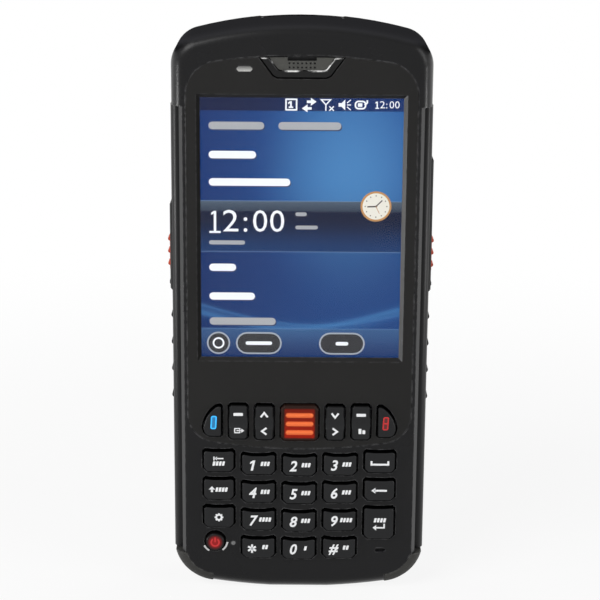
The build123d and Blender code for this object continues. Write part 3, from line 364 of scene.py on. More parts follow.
def moulded(
    name, base, roughness, grain, depth, wear=0.0, wear_colour=None, level=0.3, patch=0.25, sides=None
):
    """Moulded plastic or rubber: grain, worn edges, handling patches and a few dust specks.

    sides holds painted shading: the gain of the colour and the specular level of faces that turn away from
    the front, and the gain of the colour of faces that look up; a gain above one paints light, and one
    below paints shade."""
    graph, shader = material(name)
    handling = graph.group("Handling", Size=0.018, Contrast=1.0)
    tone = graph.mix(handling["Patches"], scaled(base, 1 - patch), scaled(base, 1 + patch))
    tone = graph.mix(graph.times(handling["Specks"], 0.18), tone, scaled(base, 1.0, 0.06))
    # Worn edges; on the housings and the battery cover the lighter edge colour is also a painted highlight
    # along them.
    if wear:
        mask = graph.group("Edge Wear", Radius=0.5 * MM, Amount=wear, Breakup=650.0)["Mask"]
        tone = graph.mix(mask, tone, wear_colour or scaled(base, 3.0, 0.01))
    if sides:
        painted_side_shading, side_level, painted_top_shading = sides
        front = graph.front(0.55, 0.97)
        up = graph.facing()[2]
        # Painted shading by facing: faces turned from the front and faces that look up take their own gains
        # of the colour.
        tone = graph.mix(front, scaled(base, painted_side_shading), tone)
        tone = graph.mix(graph.ramp(up, 0.45, 0.80), tone, scaled(base, painted_top_shading))
        side_shine = graph.times_plus(graph.ramp(up, 0.10, 0.50), -side_level, side_level)
        level = graph.times_plus(front, graph.minus(level, side_shine), side_shine)
    graph.feed(shader, {
        "Base Color": tone,
        "Roughness": graph.times_plus(handling["Patches"], 0.16, roughness - 0.08),
        "Specular IOR Level": level,
    })
    add_grain(graph, shader, depth, 1.0 / grain, 0.2)
    return graph, shader


def bezel_material(finishes):
    """The plate's finish: matt, but shiny on slopes that face left and dull on those that face right."""
    level = 0.19
    graph, shader = moulded(
        "bezel", finishes.bezel, 0.38, finishes.grain * 0.7, 0.006 * MM, wear=0.8,
        wear_colour=(0.072, 0.072, 0.075), level=level,
    )
    across = graph.facing()[0]
    right, left = graph.ramp(across, 0.25, 0.6), graph.ramp(across, -0.25, -0.6)
    level = graph.times_plus(right, -0.16, level)
    graph.link(graph.times_plus(left, 0.43, level), shader.inputs["Specular IOR Level"])


def trim_material():
    """Gloss black with a painted glint: near-white colour on its upward-facing rounded edges, broken up by
    patches.
    """
    graph, shader = material("trim")
    patches = graph.patches(0.004, 1.2)
    edges = graph.add("ShaderNodeBevel", samples=8)
    graph.feed(edges, {"Radius": 0.45 * MM})
    up = graph.parts(edges.outputs["Normal"])[2]
    # Painted glint in the base colour, where the rounded normal looks up.
    painted_glint = graph.times(graph.ramp(up, 0.25, 0.50), graph.ramp(patches, 0.46, 0.60))
    graph.feed(shader, {
        "Base Color": graph.mix(painted_glint, (0.003, 0.003, 0.0032), (0.95, 0.95, 0.94)),
        "Roughness": graph.times_plus(patches, 0.08, 0.10),
        "Specular IOR Level": 0.17,
        "Coat Weight": 0.14,
    })


def light_material():
    """Frosted window with painted shade: darker toward its top and paler toward its foot, and a near-black
    rim on faces turned from the front.
    """
    graph, shader = material("light")
    low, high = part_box("light_lens")
    # Painted shade toward the top of the window.
    painted_shading_toward_foot = graph.ramp(graph.place()[2], high.z, low.z)
    tone = graph.mix(painted_shading_toward_foot, (0.13, 0.13, 0.125), (0.52, 0.52, 0.50))
    smears = graph.times(graph.patches(0.002, 0.6), 0.2)
    tone = graph.mix(smears, tone, (0.145, 0.145, 0.145))
    graph.feed(shader, {
        # Painted shade: faces turned from the front are near black, a dark rim.
        "Base Color": graph.mix(graph.front(0.7, 0.98), (0.006, 0.006, 0.006), tone),
        "Roughness": 0.35,
    })


def metal(name, base, roughness, depth=0.0):
    """Plated or bare metal with slight patches, and with a grain of some depth where asked."""
    graph, shader = material(name)
    patches = graph.patches(0.006, 0.8)
    graph.feed(shader, {
        "Base Color": graph.mix(patches, scaled(base, 0.9), base),
        "Roughness": graph.times_plus(patches, 0.2, roughness - 0.1, clamp=True),
        "Metallic": 1.0,
    })
    if depth:
        add_grain(graph, shader, depth, 5000.0, 0.5)


def lit(name, base, strength, matt=0.1):
    """Print given a painted glow, or a light that glows by itself; matt is the share of its tone that lamps
    light too.
    """
    graph, shader = material(name)
    tone = graph.mix(graph.patches(0.002, 0.5), scaled(base, 0.92), base)
    graph.feed(shader, {
        "Emission Color": tone,
        "Base Color": graph.mix(1.0 - matt, tone, BLACK),
        "Emission Strength": strength,
        "Roughness": 0.5,
    })


def clear(name, tint, ior):
    """Clear or tinted glass with faint smears."""
    graph, shader = material(name)
    patches = graph.patches(0.02)
    graph.feed(shader, {
        "Base Color": graph.mix(patches, tint, scaled(tint, 1.05)),
        "Roughness": graph.times(patches, 0.01, clamp=True),
        "Transmission Weight": 1.0,
        "IOR": ior,
    })


def streak(graph, value, where, width, gain):
    """Mask of a soft line, where a value is at a certain level."""
    return graph.times(graph.ramp(graph.gap(value, where), width, 0.0), gain)


def wallpaper(graph, screen, across, down):
    """Blue, darker on the left and low down, with a round glow high on the right and waves below."""
    paper = graph.mix(graph.ramp(across, -0.15, 0.75), screen.deep, screen.middle)
    aside, below = graph.minus(across, 0.74), graph.times(graph.minus(down, 0.30), 0.9)
    glow = graph.ramp(graph.reach(aside, below), 0.52, 0.02)
    paper = graph.mix(glow, paper, screen.glow)
    dusk = graph.times(graph.ramp(down, 0.30, 0.62), 0.42)
    paper = graph.mix(dusk, paper, (0.0, 0.014, 0.090))
    for middle, swing, pace, width, gain in (
        (0.820, 0.075, 3.1, 0.045, 0.30),
        (0.830, 0.062, 3.4, 0.016, 0.40),
        (0.800, 0.080, 2.7, 0.010, 0.30),
    ):
        crest = graph.times_plus(graph.math("SINE", graph.times(across, pace)), swing, middle)
        paper = graph.mix(streak(graph, down, crest, width, gain), paper, screen.glow)
    return paper


def clock_band(graph, screen, down, paper):
    """Lays the band behind the time over the picture: a grey shine at its top, and light edges."""
    top, low, soft = screen.band_top, screen.band_low, 0.001
    inside = graph.times(
        graph.ramp(down, top - soft, top + soft), graph.ramp(down, low + soft, low - soft)
    )
    tone = graph.mix(graph.ramp(down, top + 0.06, low + 0.02), screen.band, scaled(screen.middle, 0.5))
    shine = graph.times(
        graph.ramp(down, top + 0.045, top + 0.036), graph.ramp(down, top + 0.075, top - 0.02)
    )
    tone = graph.mix(graph.times(shine, 0.8), tone, (0.105, 0.150, 0.200))
    paper = graph.mix(inside, paper, tone)
    for edge in (top, low):
        paper = graph.mix(streak(graph, down, edge, 0.0035, 0.55), paper, (0.16, 0.27, 0.45))
    return paper


def screen_material(screen):
    """Lit screen: the wallpaper under a status bar, a clock band and a foot bar."""
    graph, shader = material("screen")
    x, _, z = graph.place()
    across = graph.math("DIVIDE", graph.minus(x, SCREEN_LEFT), SCREEN_WIDTH)
    down = graph.math("DIVIDE", graph.minus(SCREEN_TOP, z), SCREEN_HEIGHT)
    status, foot, soft = screen.status_height, screen.foot_top, 0.002
    paper = wallpaper(graph, screen, across, down)
    tone = graph.mix(graph.ramp(across, 0.1, 1.0), screen.bar, scaled(screen.deep, 0.9))
    paper = graph.mix(graph.ramp(down, status + soft, status - soft), paper, tone)
    paper = clock_band(graph, screen, down, paper)
    # Foot bar with a light upper line.
    inside = graph.times(graph.ramp(down, foot - soft, foot + soft), 0.75)
    tone = graph.mix(graph.ramp(down, foot, 1.0), (0.040, 0.110, 0.250), (0.008, 0.030, 0.120))
    paper = graph.mix(inside, paper, tone)
    paper = graph.mix(streak(graph, down, foot, 0.004, 0.5), paper, (0.10, 0.22, 0.42))
    graph.feed(shader, {
        "Emission Color": paper,
        "Emission Strength": 1.0,
        "Base Color": (0.004, 0.004, 0.006),
        "Specular IOR Level": 0.06,
        "Roughness": 0.5,
    })


def key_mask(graph, key, half_width, half_height, corner, softness, rise=0.0):
    """Mask of a rounded rectangle on the middle of a key, or higher by a rise."""
    middle = centre(key)
    return graph.group(
        "Panel Mask", Centre_X=middle.x, Centre_Z=middle.z + rise, Half_Width=half_width,
        Half_Height=half_height, Corner=corner, Softness=softness,
    )["Mask"]


def scan_key_material(finishes):
    """Orange key: brownish rim, bright panel, and three bars; the panel and the bars have a painted glow.
    """
    graph, shader = material("scan_key")
    orange = finishes.orange
    low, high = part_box("key_scan")
    half_width = (high.x - low.x) / 2 - KEY_TAB
    half_height = (high.z - low.z) / 2
    rim_beside, rim_above = 1.0 * MM, 0.9 * MM
    bar_inset, bar_half, bar_pitch, bars_down = 1.35 * MM, 0.62 * MM, 2.45 * MM, 0.1 * MM
    panel = key_mask(
        graph, "key_scan", half_width - rim_beside, half_height - rim_above, 0.4 * MM, 0.3 * MM
    )
    up = graph.math("DIVIDE", graph.minus(graph.place()[2], low.z), high.z - low.z)
    low_face, high_face = scaled(orange, (0.46, 0.20, 0.40)), scaled(orange, (0.24, 0.16, 0.40))
    face = graph.mix(graph.ramp(up, 0.0, 1.0), low_face, high_face)
    tone = graph.mix(panel, scaled(orange, (0.026, 0.07, 0.15), 0.006), face)
    for row in (-1, 0, 1):
        rise = row * bar_pitch - bars_down
        mask = key_mask(
            graph, "key_scan", half_width - bar_inset, bar_half, 0.6 * MM, 0.22 * MM, rise
        )
        tone = graph.mix(mask, tone, scaled(orange, (1.4, 3.3, 7.0)))
    graph.feed(shader, {
        "Base Color": tone,
        # Painted glow: the panel and bars emit their own colour.
        "Emission Color": graph.mix(panel, BLACK, tone),
        "Emission Strength": 0.12,
        "Roughness": graph.times_plus(graph.patches(0.004), 0.15, 0.30),
        "Specular IOR Level": 0.10,
    })


def power_key_material(finishes):
    """Nearly black key with a painted red glow round its mark, in colour and emission."""
    graph, shader = material("power_key")
    reach = 1.6 * MM
    # Painted glow: a red disc on the top of the key.
    glow = key_mask(graph, "key_power", reach, reach, 1.59 * MM, 0.7 * MM)
    on_top = graph.ramp(graph.place()[1], KEY_TOP_Y + 0.05 * MM, KEY_TOP_Y + 0.01 * MM)
    glow = graph.times(glow, on_top)
    graph.feed(shader, {
        "Base Color": graph.mix(glow, (0.0044, 0.0036, 0.0036), scaled(finishes.red, 0.36)),
        "Emission Color": graph.mix(glow, BLACK, scaled(finishes.red, 0.24)),
        "Emission Strength": 0.5,
        "Roughness": graph.times_plus(graph.patches(0.004), 0.15, 0.25),
        "Specular IOR Level": graph.times(graph.front(0.6, 0.98), 0.22),
    })


def board_material():
    """Green board with pads and tracks."""
    graph, shader = material("board")
    brick = graph.add("ShaderNodeTexBrick")
    graph.feed(brick, {"Vector": graph.spot(), "Scale": 260.0, "Mortar Size": 0.03})
    graph.feed(shader, {
        "Base Color": graph.mix(brick.outputs["Fac"], (0.006, 0.060, 0.030), (0.30, 0.22, 0.07)),
        "Roughness": graph.times_plus(graph.patches(0.01), 0.2, 0.3),
    })


def shell_materials(finishes):
    """Moulded finishes that are seen from outside, by what sets each apart."""
    housing, rubber, grain = finishes.housing, finishes.rubber, finishes.grain
    # Painted light on the housing's up-facing faces, 5.5 times its colour.
    moulded(
        "housing", housing, 0.28, grain, 0.008 * MM, wear=0.8, wear_colour=SCUFF_AND_HIGHLIGHT, level=0.19,
        sides=(1.0, 0.50, 5.5),
    )
    moulded(
        "cover", housing, 0.46, grain * 1.3, 0.02 * MM, wear=0.5, wear_colour=SCUFF_AND_HIGHLIGHT, level=0.36
    )
    # Painted shade on the rubber's sides, and painted light on its up-facing faces.
    moulded(
        "rubber", rubber, 0.36, 0.45 * MM, 0.006 * MM, wear=0.5, wear_colour=(0.058, 0.058, 0.061),
        level=0.17, sides=(0.7, 0.36, 1.5),
    )
    moulded(
        "bumper", finishes.bumper, 0.70, 0.5 * MM, 0.05 * MM, wear=0.9,
        wear_colour=(0.145, 0.143, 0.136), level=0.29, patch=0.6,
    )
    # Painted shade on the sides and up-facing faces of the key caps, for the dark rings round them.
    moulded(
        "keys", finishes.keys, 0.36, 0.22 * MM, 0.004 * MM, level=0.24, sides=(0.12, 0.0, 0.12)
    )
    moulded(
        "side_orange", scaled(finishes.orange, 0.7), 0.5, 0.3 * MM, 0.01 * MM, wear=0.2,
        wear_colour=(0.9, 0.25, 0.1), level=0.4,
    )
    moulded("volume", scaled(rubber, 0.9), 0.5, 0.3 * MM, 0.01 * MM, wear=0.4, level=0.58)
    moulded(
        "grille", (0.046, 0.046, 0.041), 0.5, 0.3 * MM, 0.03 * MM, wear=0.2, level=0.43, patch=0.4
    )
    bezel_material(finishes)
    trim_material()


def inner_materials():
    """Finishes of what is inside, and the metals and glasses."""
    for name, base, roughness, grain, depth, wear, level in (
        ("battery", (0.016, 0.017, 0.020), 0.55, 0.4, 0.01, 0.3, 0.3),
        ("gasket", (0.03, 0.03, 0.032), 0.75, 0.3, 0.02, 0.0, 0.3),
        ("silicone", (0.20, 0.21, 0.22), 0.6, 0.4, 0.01, 0.0, 0.4),
        ("module", (0.010, 0.010, 0.011), 0.45, 0.2, 0.005, 0.2, 0.3),
        ("speaker", (0.006, 0.006, 0.006), 0.8, 0.25, 0.04, 0.0, 0.3),
    ):
        moulded(name, base, roughness, grain * MM, depth * MM, wear=wear, level=level)
    metal("steel", (0.42, 0.42, 0.43), 0.35)
    metal("gold", (0.75, 0.52, 0.20), 0.3)
    metal("magnesium", (0.36, 0.36, 0.37), 0.55, 0.02 * MM)
    clear("touch_glass", (0.97, 0.98, 0.99), 1.22)
    clear("scan_glass", (0.30, 0.010, 0.015), 1.45)
    clear("camera_window", (0.16, 0.16, 0.18), 1.45)
    board_material()


def print_materials(finishes):
    """Print on the keys, with a painted glow, and the small lights, by colour, glow and the share that
    lamps light.
    """
    for name, base, strength, matt in (
        ("status", (0.27, 0.27, 0.27), 0.12, 0.6),
        # Painted glow on the legends, the marks and the glows round the marks, which are print.
        ("legend", finishes.legend, 0.12, 0.9),
        ("blue_mark", finishes.blue, 1.0, 0.6),
        ("red_mark", finishes.red, 0.3, 0.6),
        ("blue_glow", scaled(finishes.blue, 0.45), 0.5, 0.6),
        ("red_glow", scaled(finishes.red, 0.14), 0.5, 0.6),
    ):
        lit(name, base, strength, matt)


def picture_materials(screen):
    """What is drawn on the screen, by colour and glow."""
    for name, base, strength in (
        ("ink", screen.ink, 1.0),
        ("faded_ink", scaled(screen.ink, 0.42), 1.0),
        ("shadow_ink", (0.010, 0.030, 0.110), 0.9),
        ("pill", (0.008, 0.009, 0.014), 0.9),
        ("pill_rim", (0.38, 0.42, 0.48), 0.9),
        ("clock_ring", (0.55, 0.27, 0.075), 0.9),
        ("clock_face", (0.86, 0.83, 0.74), 0.9),
        ("clock_hand", (0.060, 0.045, 0.035), 0.9),
    ):
        lit(name, base, strength)
    screen_material(screen)


# ---- Meshes ----
def paint(name, finish):
    """Gives a CAD node one finish."""
    materials = NODES[name].data.materials
    materials.clear()
    materials.append(finish_of(finish))


def soften(name, width, segments):
    """Rounds the sharp edges of a CAD node with modifiers, and leaves its vertices alone."""
    piece = NODES[name]
    piece.data.polygons.foreach_set("use_smooth", [True] * len(piece.data.polygons))
    weld = piece.modifiers.new("Weld", "WELD")
    weld.merge_threshold = 0.002 * MM
    flats = piece.modifiers.new("Flats", "DECIMATE")
    flats.decimate_type = "DISSOLVE"
    flats.angle_limit = radians(0.4)
    bevel = piece.modifiers.new("Edges", "BEVEL")
    bevel.width = width
    bevel.segments = segments
    bevel.limit_method = "ANGLE"
    bevel.angle_limit = radians(28.0)
    shading = piece.modifiers.new("Shading", "WEIGHTED_NORMAL")
    shading.keep_sharp = False


def dress(name, finish, width, segments=2):
    """Gives a CAD node its finish, and edges rounded by a width."""
    paint(name, finish)
    soften(name, width, segments)


def mesh_piece(name, bm, finish, body, thickness=0.0):
    """Turns a bmesh into a piece that rides on a body, with a thickness toward the reader if asked."""
    bmesh.ops.remove_doubles(bm, verts=bm.verts, dist=0.001 * MM)
    data = bpy.data.meshes.new(name)
    bm.to_mesh(data)
    bm.free()
    data.polygons.foreach_set("use_smooth", [False] * len(data.polygons))
    data.materials.append(finish_of(finish))
    piece = bpy.data.objects.new(name, data)
    bpy.context.scene.collection.objects.link(piece)
    if thickness:
        solid = piece.modifiers.new("Thickness", "SOLIDIFY")
        solid.thickness = thickness
        solid.offset = 1.0
    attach(piece, body)
    return piece


def block(bm, middle, size):
    """Adds a box by its middle and its size."""
    corners = bmesh.ops.create_cube(bm, size=1.0)["verts"]
    place = Matrix.Translation(middle) @ Matrix.Diagonal((*size, 1.0))
    bmesh.ops.transform(bm, verts=corners, matrix=place)


# ---- Flat shapes: lists of faces, each a list of (x, z), counter-clockwise for the reader ----
def arc(middle, radius, start, end, steps):
    """Points of an arc, angles in degrees."""
    return [
        (middle[0] + radius * cos(radians(start + (end - start) * i / steps)),
         middle[1] + radius * sin(radians(start + (end - start) * i / steps)))
        for i in range(steps + 1)
    ]


def rounded(width, height, corner):
    """Points of a rounded rectangle round the origin."""
    w, h = width / 2 - corner, height / 2 - corner
    points = []
    for (x, z), start in (((w, h), 0), ((-w, h), 90), ((-w, -h), 180), ((w, -h), 270)):
        points += arc((x, z), corner, start, start + 90, 4)
    return points


def sheared(faces, slant):
    """Faces that lean to the right by a slant."""
    return [[(x + slant * z, z) for x, z in face] for face in faces]


def bar(width, height, corner=None, slant=0.0):
    """A filled rounded rectangle, with round ends where no corner is given."""
    corner = min(width, height) / 2 * 0.98 if corner is None else corner
    return sheared([rounded(width, height, corner)], slant)


def frame_of(width, height, corner, line, slant=0.0):
    """Outline of a rounded rectangle, drawn with a line."""
    outer = rounded(width, height, corner)
    inner = rounded(width - 2 * line, height - 2 * line, max(corner - line, 0.01 * MM))
    after = [(i + 1) % len(outer) for i in range(len(outer))]
    faces = [[outer[i], outer[j], inner[j], inner[i]] for i, j in enumerate(after)]
    return sheared(faces, slant)


def disc(radius):
    steps = 48
    return [arc((0, 0), radius, 0, 360 * (steps - 1) / steps, steps - 1)]


def ring(radius, line, start=0.0, end=360.0, steps=32):
    """A ring, or a part of one between two angles."""
    outer = arc((0, 0), radius, start, end, steps)
    inner = arc((0, 0), radius - line, start, end, steps)
    return [[outer[i], outer[i + 1], inner[i + 1], inner[i]] for i in range(steps)]


def stroke(points, line):
    """A line drawn through points, with mitred corners."""
    sides = []
    for i, (x, z) in enumerate(points):
        before = Vector(points[i]) - Vector(points[max(i - 1, 0)])
        after = Vector(points[min(i + 1, len(points) - 1)]) - Vector(points[i])
        ways = [way.normalized() for way in (before, after) if way.length > 0]
        along = sum(ways, Vector((0, 0))).normalized()
        reach = line / 2 / max(0.4, abs(along.dot(ways[0])))
        over, up = -along.y * reach, along.x * reach
        sides.append(((x + over, z + up), (x - over, z - up)))
    return [[a[0], a[1], b[1], b[0]] for a, b in zip(sides, sides[1:])]


def one(height, line, slant=0.0, foot=0.0):
    """The digit 1 with its flag, and a foot as wide as asked."""
    top, half = height / 2, line / 2
    faces = [
        [(-half, -top), (half, -top), (half, top), (-half, top)],
        [(-line * 1.5, top - 1.7 * line), (-half, top - 1.1 * line), (-half, top),
         (-line * 1.5, top - 0.75 * line)],
    ]
    if foot:
        upper = line * 0.85 - top
        faces.append([(-foot / 2, -top), (foot / 2, -top), (foot / 2, upper), (-foot / 2, upper)])
    return sheared(faces, slant)


def star(radius, line):
    """A sign of three crossed strokes."""
    ends = [(radius * sin(radians(60 * i)), radius * cos(radians(60 * i))) for i in range(3)]
    return [face for x, z in ends for face in stroke([(x, z), (-x, -z)], line)]


def moved(faces, x, z):
    return [[(px + x, pz + z) for px, pz in face] for face in faces]


class Pen:
    """Makes the shapes above from sizes in a unit of its own."""

    def __init__(self, unit):
        self.unit = unit

    def sized(self, points):
        return [(x * self.unit, z * self.unit) for x, z in points]

    def line(self, points, line):
        return stroke(self.sized(points), line * self.unit)

    def fill(self, *points):
        return [self.sized(points)]

    def bar(self, width, height, corner=None, slant=0.0):
        corner = None if corner is None else corner * self.unit
        return bar(width * self.unit, height * self.unit, corner, slant)

    def frame(self, width, height, corner, line, slant=0.0):
        return frame_of(width * self.unit, height * self.unit, corner * self.unit, line * self.unit, slant)

    def disc(self, radius):
        return disc(radius * self.unit)

    def ring(self, radius, line, *angles, steps):
        return ring(radius * self.unit, line * self.unit, *angles, steps=steps)

    def one(self, height, line, slant=0.0, foot=0.0):
        return one(height * self.unit, line * self.unit, slant, foot * self.unit)

    def star(self, radius, line):
        return star(radius * self.unit, line * self.unit)

    def moved(self, faces, x, z):
        return moved(faces, x * self.unit, z * self.unit)


KEY_PEN = Pen(MM)
SCREEN_PEN = Pen(SCREEN_WIDTH / 100)  # the picture is drawn in hundredths of the screen's width


def draw(bm, faces, y, at=(0.0, 0.0)):
    """Adds flat faces at depth y, turned to the reader."""
    for face in faces:
        area = sum(a[0] * b[1] - b[0] * a[1] for a, b in zip(face, face[1:] + face[:1]))
        ordered = face if area > 0 else face[::-1]
        bm.faces.new([bm.verts.new((x + at[0], y, z + at[1])) for x, z in ordered])


def write(bm, text, size, y, at=(0.0, 0.0), slant=0.0, weight=0.0, stretch=1.0):
    """Adds digits or signs in Blender's own typeface, centred on a place."""
    curve = bpy.data.curves.new("writing", "FONT")
    curve.body = text
    curve.size = size
    curve.shear = slant
    curve.offset = weight
    curve.resolution_u = 3
    curve.align_x = "CENTER"
    curve.align_y = "CENTER"
    writing = bpy.data.objects.new("writing", curve)
    mesh = bpy.data.meshes.new_from_object(writing)
    turn = Matrix.Rotation(pi / 2, 4, "X")
    mesh.transform(Matrix.Translation((at[0], y, at[1])) @ turn @ Matrix.Diagonal((stretch, 1, 1, 1)))
    bm.from_mesh(mesh)
    bpy.data.objects.remove(writing)
    bpy.data.curves.remove(curve)
    bpy.data.meshes.remove(mesh)


# ---- Operators ----
class TerminalOperator:
    bl_options = {"REGISTER", "UNDO"}


class TERMINAL_OT_materials(TerminalOperator, bpy.types.Operator):
    """Makes the shared effects and every material"""

    bl_idname = "terminal.materials"
    bl_label = "Materials"

    def execute(self, context):
        finishes, screen = context.scene.terminal_finishes, context.scene.terminal_screen
        grain_group()
        wear_group()
        handling_group()
        panel_group()
        shell_materials(finishes)
        inner_materials()
        print_materials(finishes)
        picture_materials(screen)
        metal("chrome", finishes.chrome, 0.28)
        scan_key_material(finishes)
        power_key_material(finishes)
        light_material()
        return {"FINISHED"}


class TERMINAL_OT_shell(TerminalOperator, bpy.types.Operator):
    """Finishes the housings, bumpers, grips and the bezel plate"""

    bl_idname = "terminal.shell"
    bl_label = "Shell"

    def execute(self, context):
        edge = context.scene.terminal_finishes.edge
        for name, finish, width in (
            ("front_housing", "housing", edge),
            ("rear_housing", "housing", edge),
            ("bezel_plate", "bezel", edge * 0.6),
            ("corner_bumper_left", "bumper", edge * 1.2),
            ("corner_bumper_right", "bumper", edge * 1.2),
            ("side_grip_left", "rubber", edge * 1.4),
            ("side_grip_right", "rubber", edge * 1.4),
            ("housing_gasket", "gasket", edge * 0.4),
            ("receiver_trim", "trim", edge * 1.4),
            ("receiver_grille", "grille", edge * 0.15),
            ("light_lens", "light", edge * 0.5),
            ("status_lens", "status", edge * 0.3),
            ("power_crescents", "chrome", edge * 0.3),
        ):
            dress(name, finish, width)
        return {"FINISHED"}


class TERMINAL_OT_keys(TerminalOperator, bpy.types.Operator):
    """Finishes the key caps, the rockers and the keys on the sides"""

    bl_idname = "terminal.keys"
    bl_label = "Keys"

    def execute(self, context):
        edge = context.scene.terminal_finishes.key_edge
        finishes = {name: "keys" for name in DIGIT_KEYS + WORD_KEYS + ROCKERS + MOON_KEYS}
        finishes.update(
            key_scan="scan_key", key_power="power_key", side_scan_left="side_orange",
            side_scan_right="side_orange", volume_rocker="volume",
        )
        for name, finish in finishes.items():
            dress(name, finish, edge, segments=3)
        return {"FINISHED"}


class TERMINAL_OT_legends(TerminalOperator, bpy.types.Operator):
    """Prints digits and signs on the keys"""

    bl_idname = "terminal.legends"
    bl_label = "Legends"

    y = KEY_TOP_Y - 0.005 * MM
    ink = 0.03 * MM
    slant = 0.22

    def execute(self, context):
        self.digits()
        self.word_keys()
        self.rockers()
        self.moons()
        self.power()
        return {"FINISHED"}

    def stamp(self, name, bm, finish="legend", slot="key_plastic"):
        """Makes a print that rides on the key of that name."""
        mesh_piece("print_" + name, bm, finish, name, self.ink)

    def letters(self, bm, x, z, count):
        """Small slanted blocks where a keypad has its letters."""
        pitch = 0.86 * MM
        letter = KEY_PEN.bar(0.66, 1.25, 0.16, self.slant)
        for index in range(count):
            draw(bm, letter, self.y, (x + (index - (count - 1) / 2) * pitch, z))

    def digits(self):
        """A digit or a sign on the left of each key, and blocks for letters on its right."""
        signs = {"key_star": "*", "key_hash": "#"}
        counts = {"key_7": 4, "key_9": 4, "key_0": 1, "key_hash": 2, "key_star": 2}
        usual_count = 3
        # Places of the sign and of the letters, from the middle of the key.
        left, down, right, up = 1.75 * MM, 0.20 * MM, 1.85 * MM, 0.30 * MM
        for name in DIGIT_KEYS:
            at = centre(name)
            bm = bmesh.new()
            sign = signs.get(name, name[-1])
            x, z = at.x - left, at.z - down
            if sign == "1":
                draw(bm, KEY_PEN.one(2.95, 0.62, self.slant), self.y, (x + 0.25 * MM, z))
            elif sign == "*":
                draw(bm, KEY_PEN.star(1.25, 0.55), self.y, (x, z))
            else:
                size, bolder = 4.15 * MM, 0.10 * MM
                write(bm, sign, size, self.y, (x, z), self.slant, weight=bolder, stretch=0.94)
            self.letters(bm, at.x + right, at.z + up, counts.get(name, usual_count))
            self.stamp(name, bm)

    def word_keys(self):
        """Generic signs for tab, shift, backlight, space, backspace and enter."""
        pen, line, bold, thin, head = KEY_PEN, 0.42, 0.42 * 1.3, 0.35, 0.55
        tab = (
            pen.line([(-1.3, 0), (1.3, 0)], thin)
            + pen.line([(-1.3, -head), (-1.3, head)], thin)
            + pen.fill((-1.2, 0), (-0.45, -head), (-0.45, head))
        )
        shapes = {
            "key_tab": pen.moved(tab, 0, 0.9),
            "key_shift": pen.moved(pen.line([(0, -0.75), (0, 0.2)], 0.6), -1.9, 0)
            + pen.fill((-2.8, 0), (-1.0, 0), (-1.9, 0.95)),
            "key_backlight": self.gear(1.0 * MM),
            "key_space": pen.line([(-2.3, 0.45), (-2.3, -0.55), (2.3, -0.55), (2.3, 0.45)], bold),
            "key_backspace": pen.line([(-1.5, 0), (2.1, 0)], bold)
            + pen.fill((-2.2, 0), (-1.1, -0.85), (-1.1, 0.85)),
            "key_enter": pen.line([(1.5, 0), (1.5, -1.2), (-0.8, -1.2)], line)
            + pen.fill((-1.7, -1.2), (-0.7, -2.0), (-0.7, -0.4)),
        }
        blocks = {"key_tab": (0, -0.55, 4), "key_shift": (0.75, 0, 4), "key_enter": (0.3, 1.0, 4)}
        for name, faces in shapes.items():
            at = centre(name)
            bm = bmesh.new()
            draw(bm, faces, self.y, (at.x, at.z))
            if name in blocks:
                across, up, count = blocks[name]
                self.letters(bm, at.x + across * MM, at.z + up * MM, count)
            self.stamp(name, bm)

    @staticmethod
    def gear(radius):
        """A ring with eight short teeth."""
        faces = ring(radius, radius * 0.52, steps=24)
        inner, outer, half = radius * 0.95, radius * 1.22, radius * 0.2
        tooth = [(inner, -half), (outer, -half), (outer, half), (inner, half)]
        for index in range(8):
            turn = radians(45 * index)
            faces.append([(x * cos(turn) - z * sin(turn), x * sin(turn) + z * cos(turn)) for x, z in tooth])
        return faces

    @staticmethod
    def arrow(right, up):
        """An open arrow head that points to one of the four sides."""
        tip, arm, line = 0.62, 0.95, 0.52
        points = [
            (arm * up - tip * right, arm * right - tip * up),
            (tip * right, tip * up),
            (-arm * up - tip * right, -arm * right - tip * up),
        ]
        return KEY_PEN.line(points, line)

    def rockers(self):
        """Dash, arrows and signs on the upper and lower halves of the rocker keys."""
        pen = KEY_PEN
        low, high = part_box(ROCKERS[0])
        rise = (high.z - low.z) / 2 * 0.47
        dash = pen.bar(2.6, 0.85, 0.2)
        exit_sign = (
            pen.frame(1.7, 1.5, 0.15, 0.3)
            + pen.line([(-0.2, 0), (1.3, 0)], 0.32)
            + pen.fill((1.9, 0), (1.1, 0.62), (1.1, -0.62))
        )
        two_blocks = pen.bar(0.8, 1.5, 0.2) + pen.moved(pen.bar(0.8, 1.1, 0.2), 1.05, -0.2)
        marks = {
            "rocker_outer_left": (dash, exit_sign),
            "rocker_inner_left": (self.arrow(0, 1), self.arrow(-1, 0)),
            "rocker_inner_right": (self.arrow(0, -1), self.arrow(1, 0)),
            "rocker_outer_right": (dash, two_blocks),
        }
        for name, (upper, lower) in marks.items():
            at = centre(name)
            aside = 0.25 * MM if "outer" in name else 0
            bm = bmesh.new()
            draw(bm, upper, self.y, (at.x, at.z + rise))
            draw(bm, lower, self.y, (at.x - aside, at.z - rise))
            self.stamp(name, bm)

    def moons(self):
        """A blue and a red outline on the outer function keys, each round a patch of painted glow."""
        pen = KEY_PEN
        for name, hue, aside in (("key_soft_left", "blue", 0.40), ("key_soft_right", "red", -0.35)):
            at = centre(name)
            place = (at.x + aside * MM, at.z - 0.25 * MM)
            outline, glow = bmesh.new(), bmesh.new()
            draw(outline, pen.frame(1.6, 3.8, 0.5, 0.36, 0.06), self.y, place)
            if hue == "red":
                draw(outline, pen.bar(0.9, 0.4, 0.1), self.y, place)
            draw(glow, pen.bar(1.0, 3.2, 0.2, 0.04), self.y, place)
            self.stamp(name, outline, hue + "_mark")
            mesh_piece("glow_" + name, glow, hue + "_glow", name, self.ink / 2)

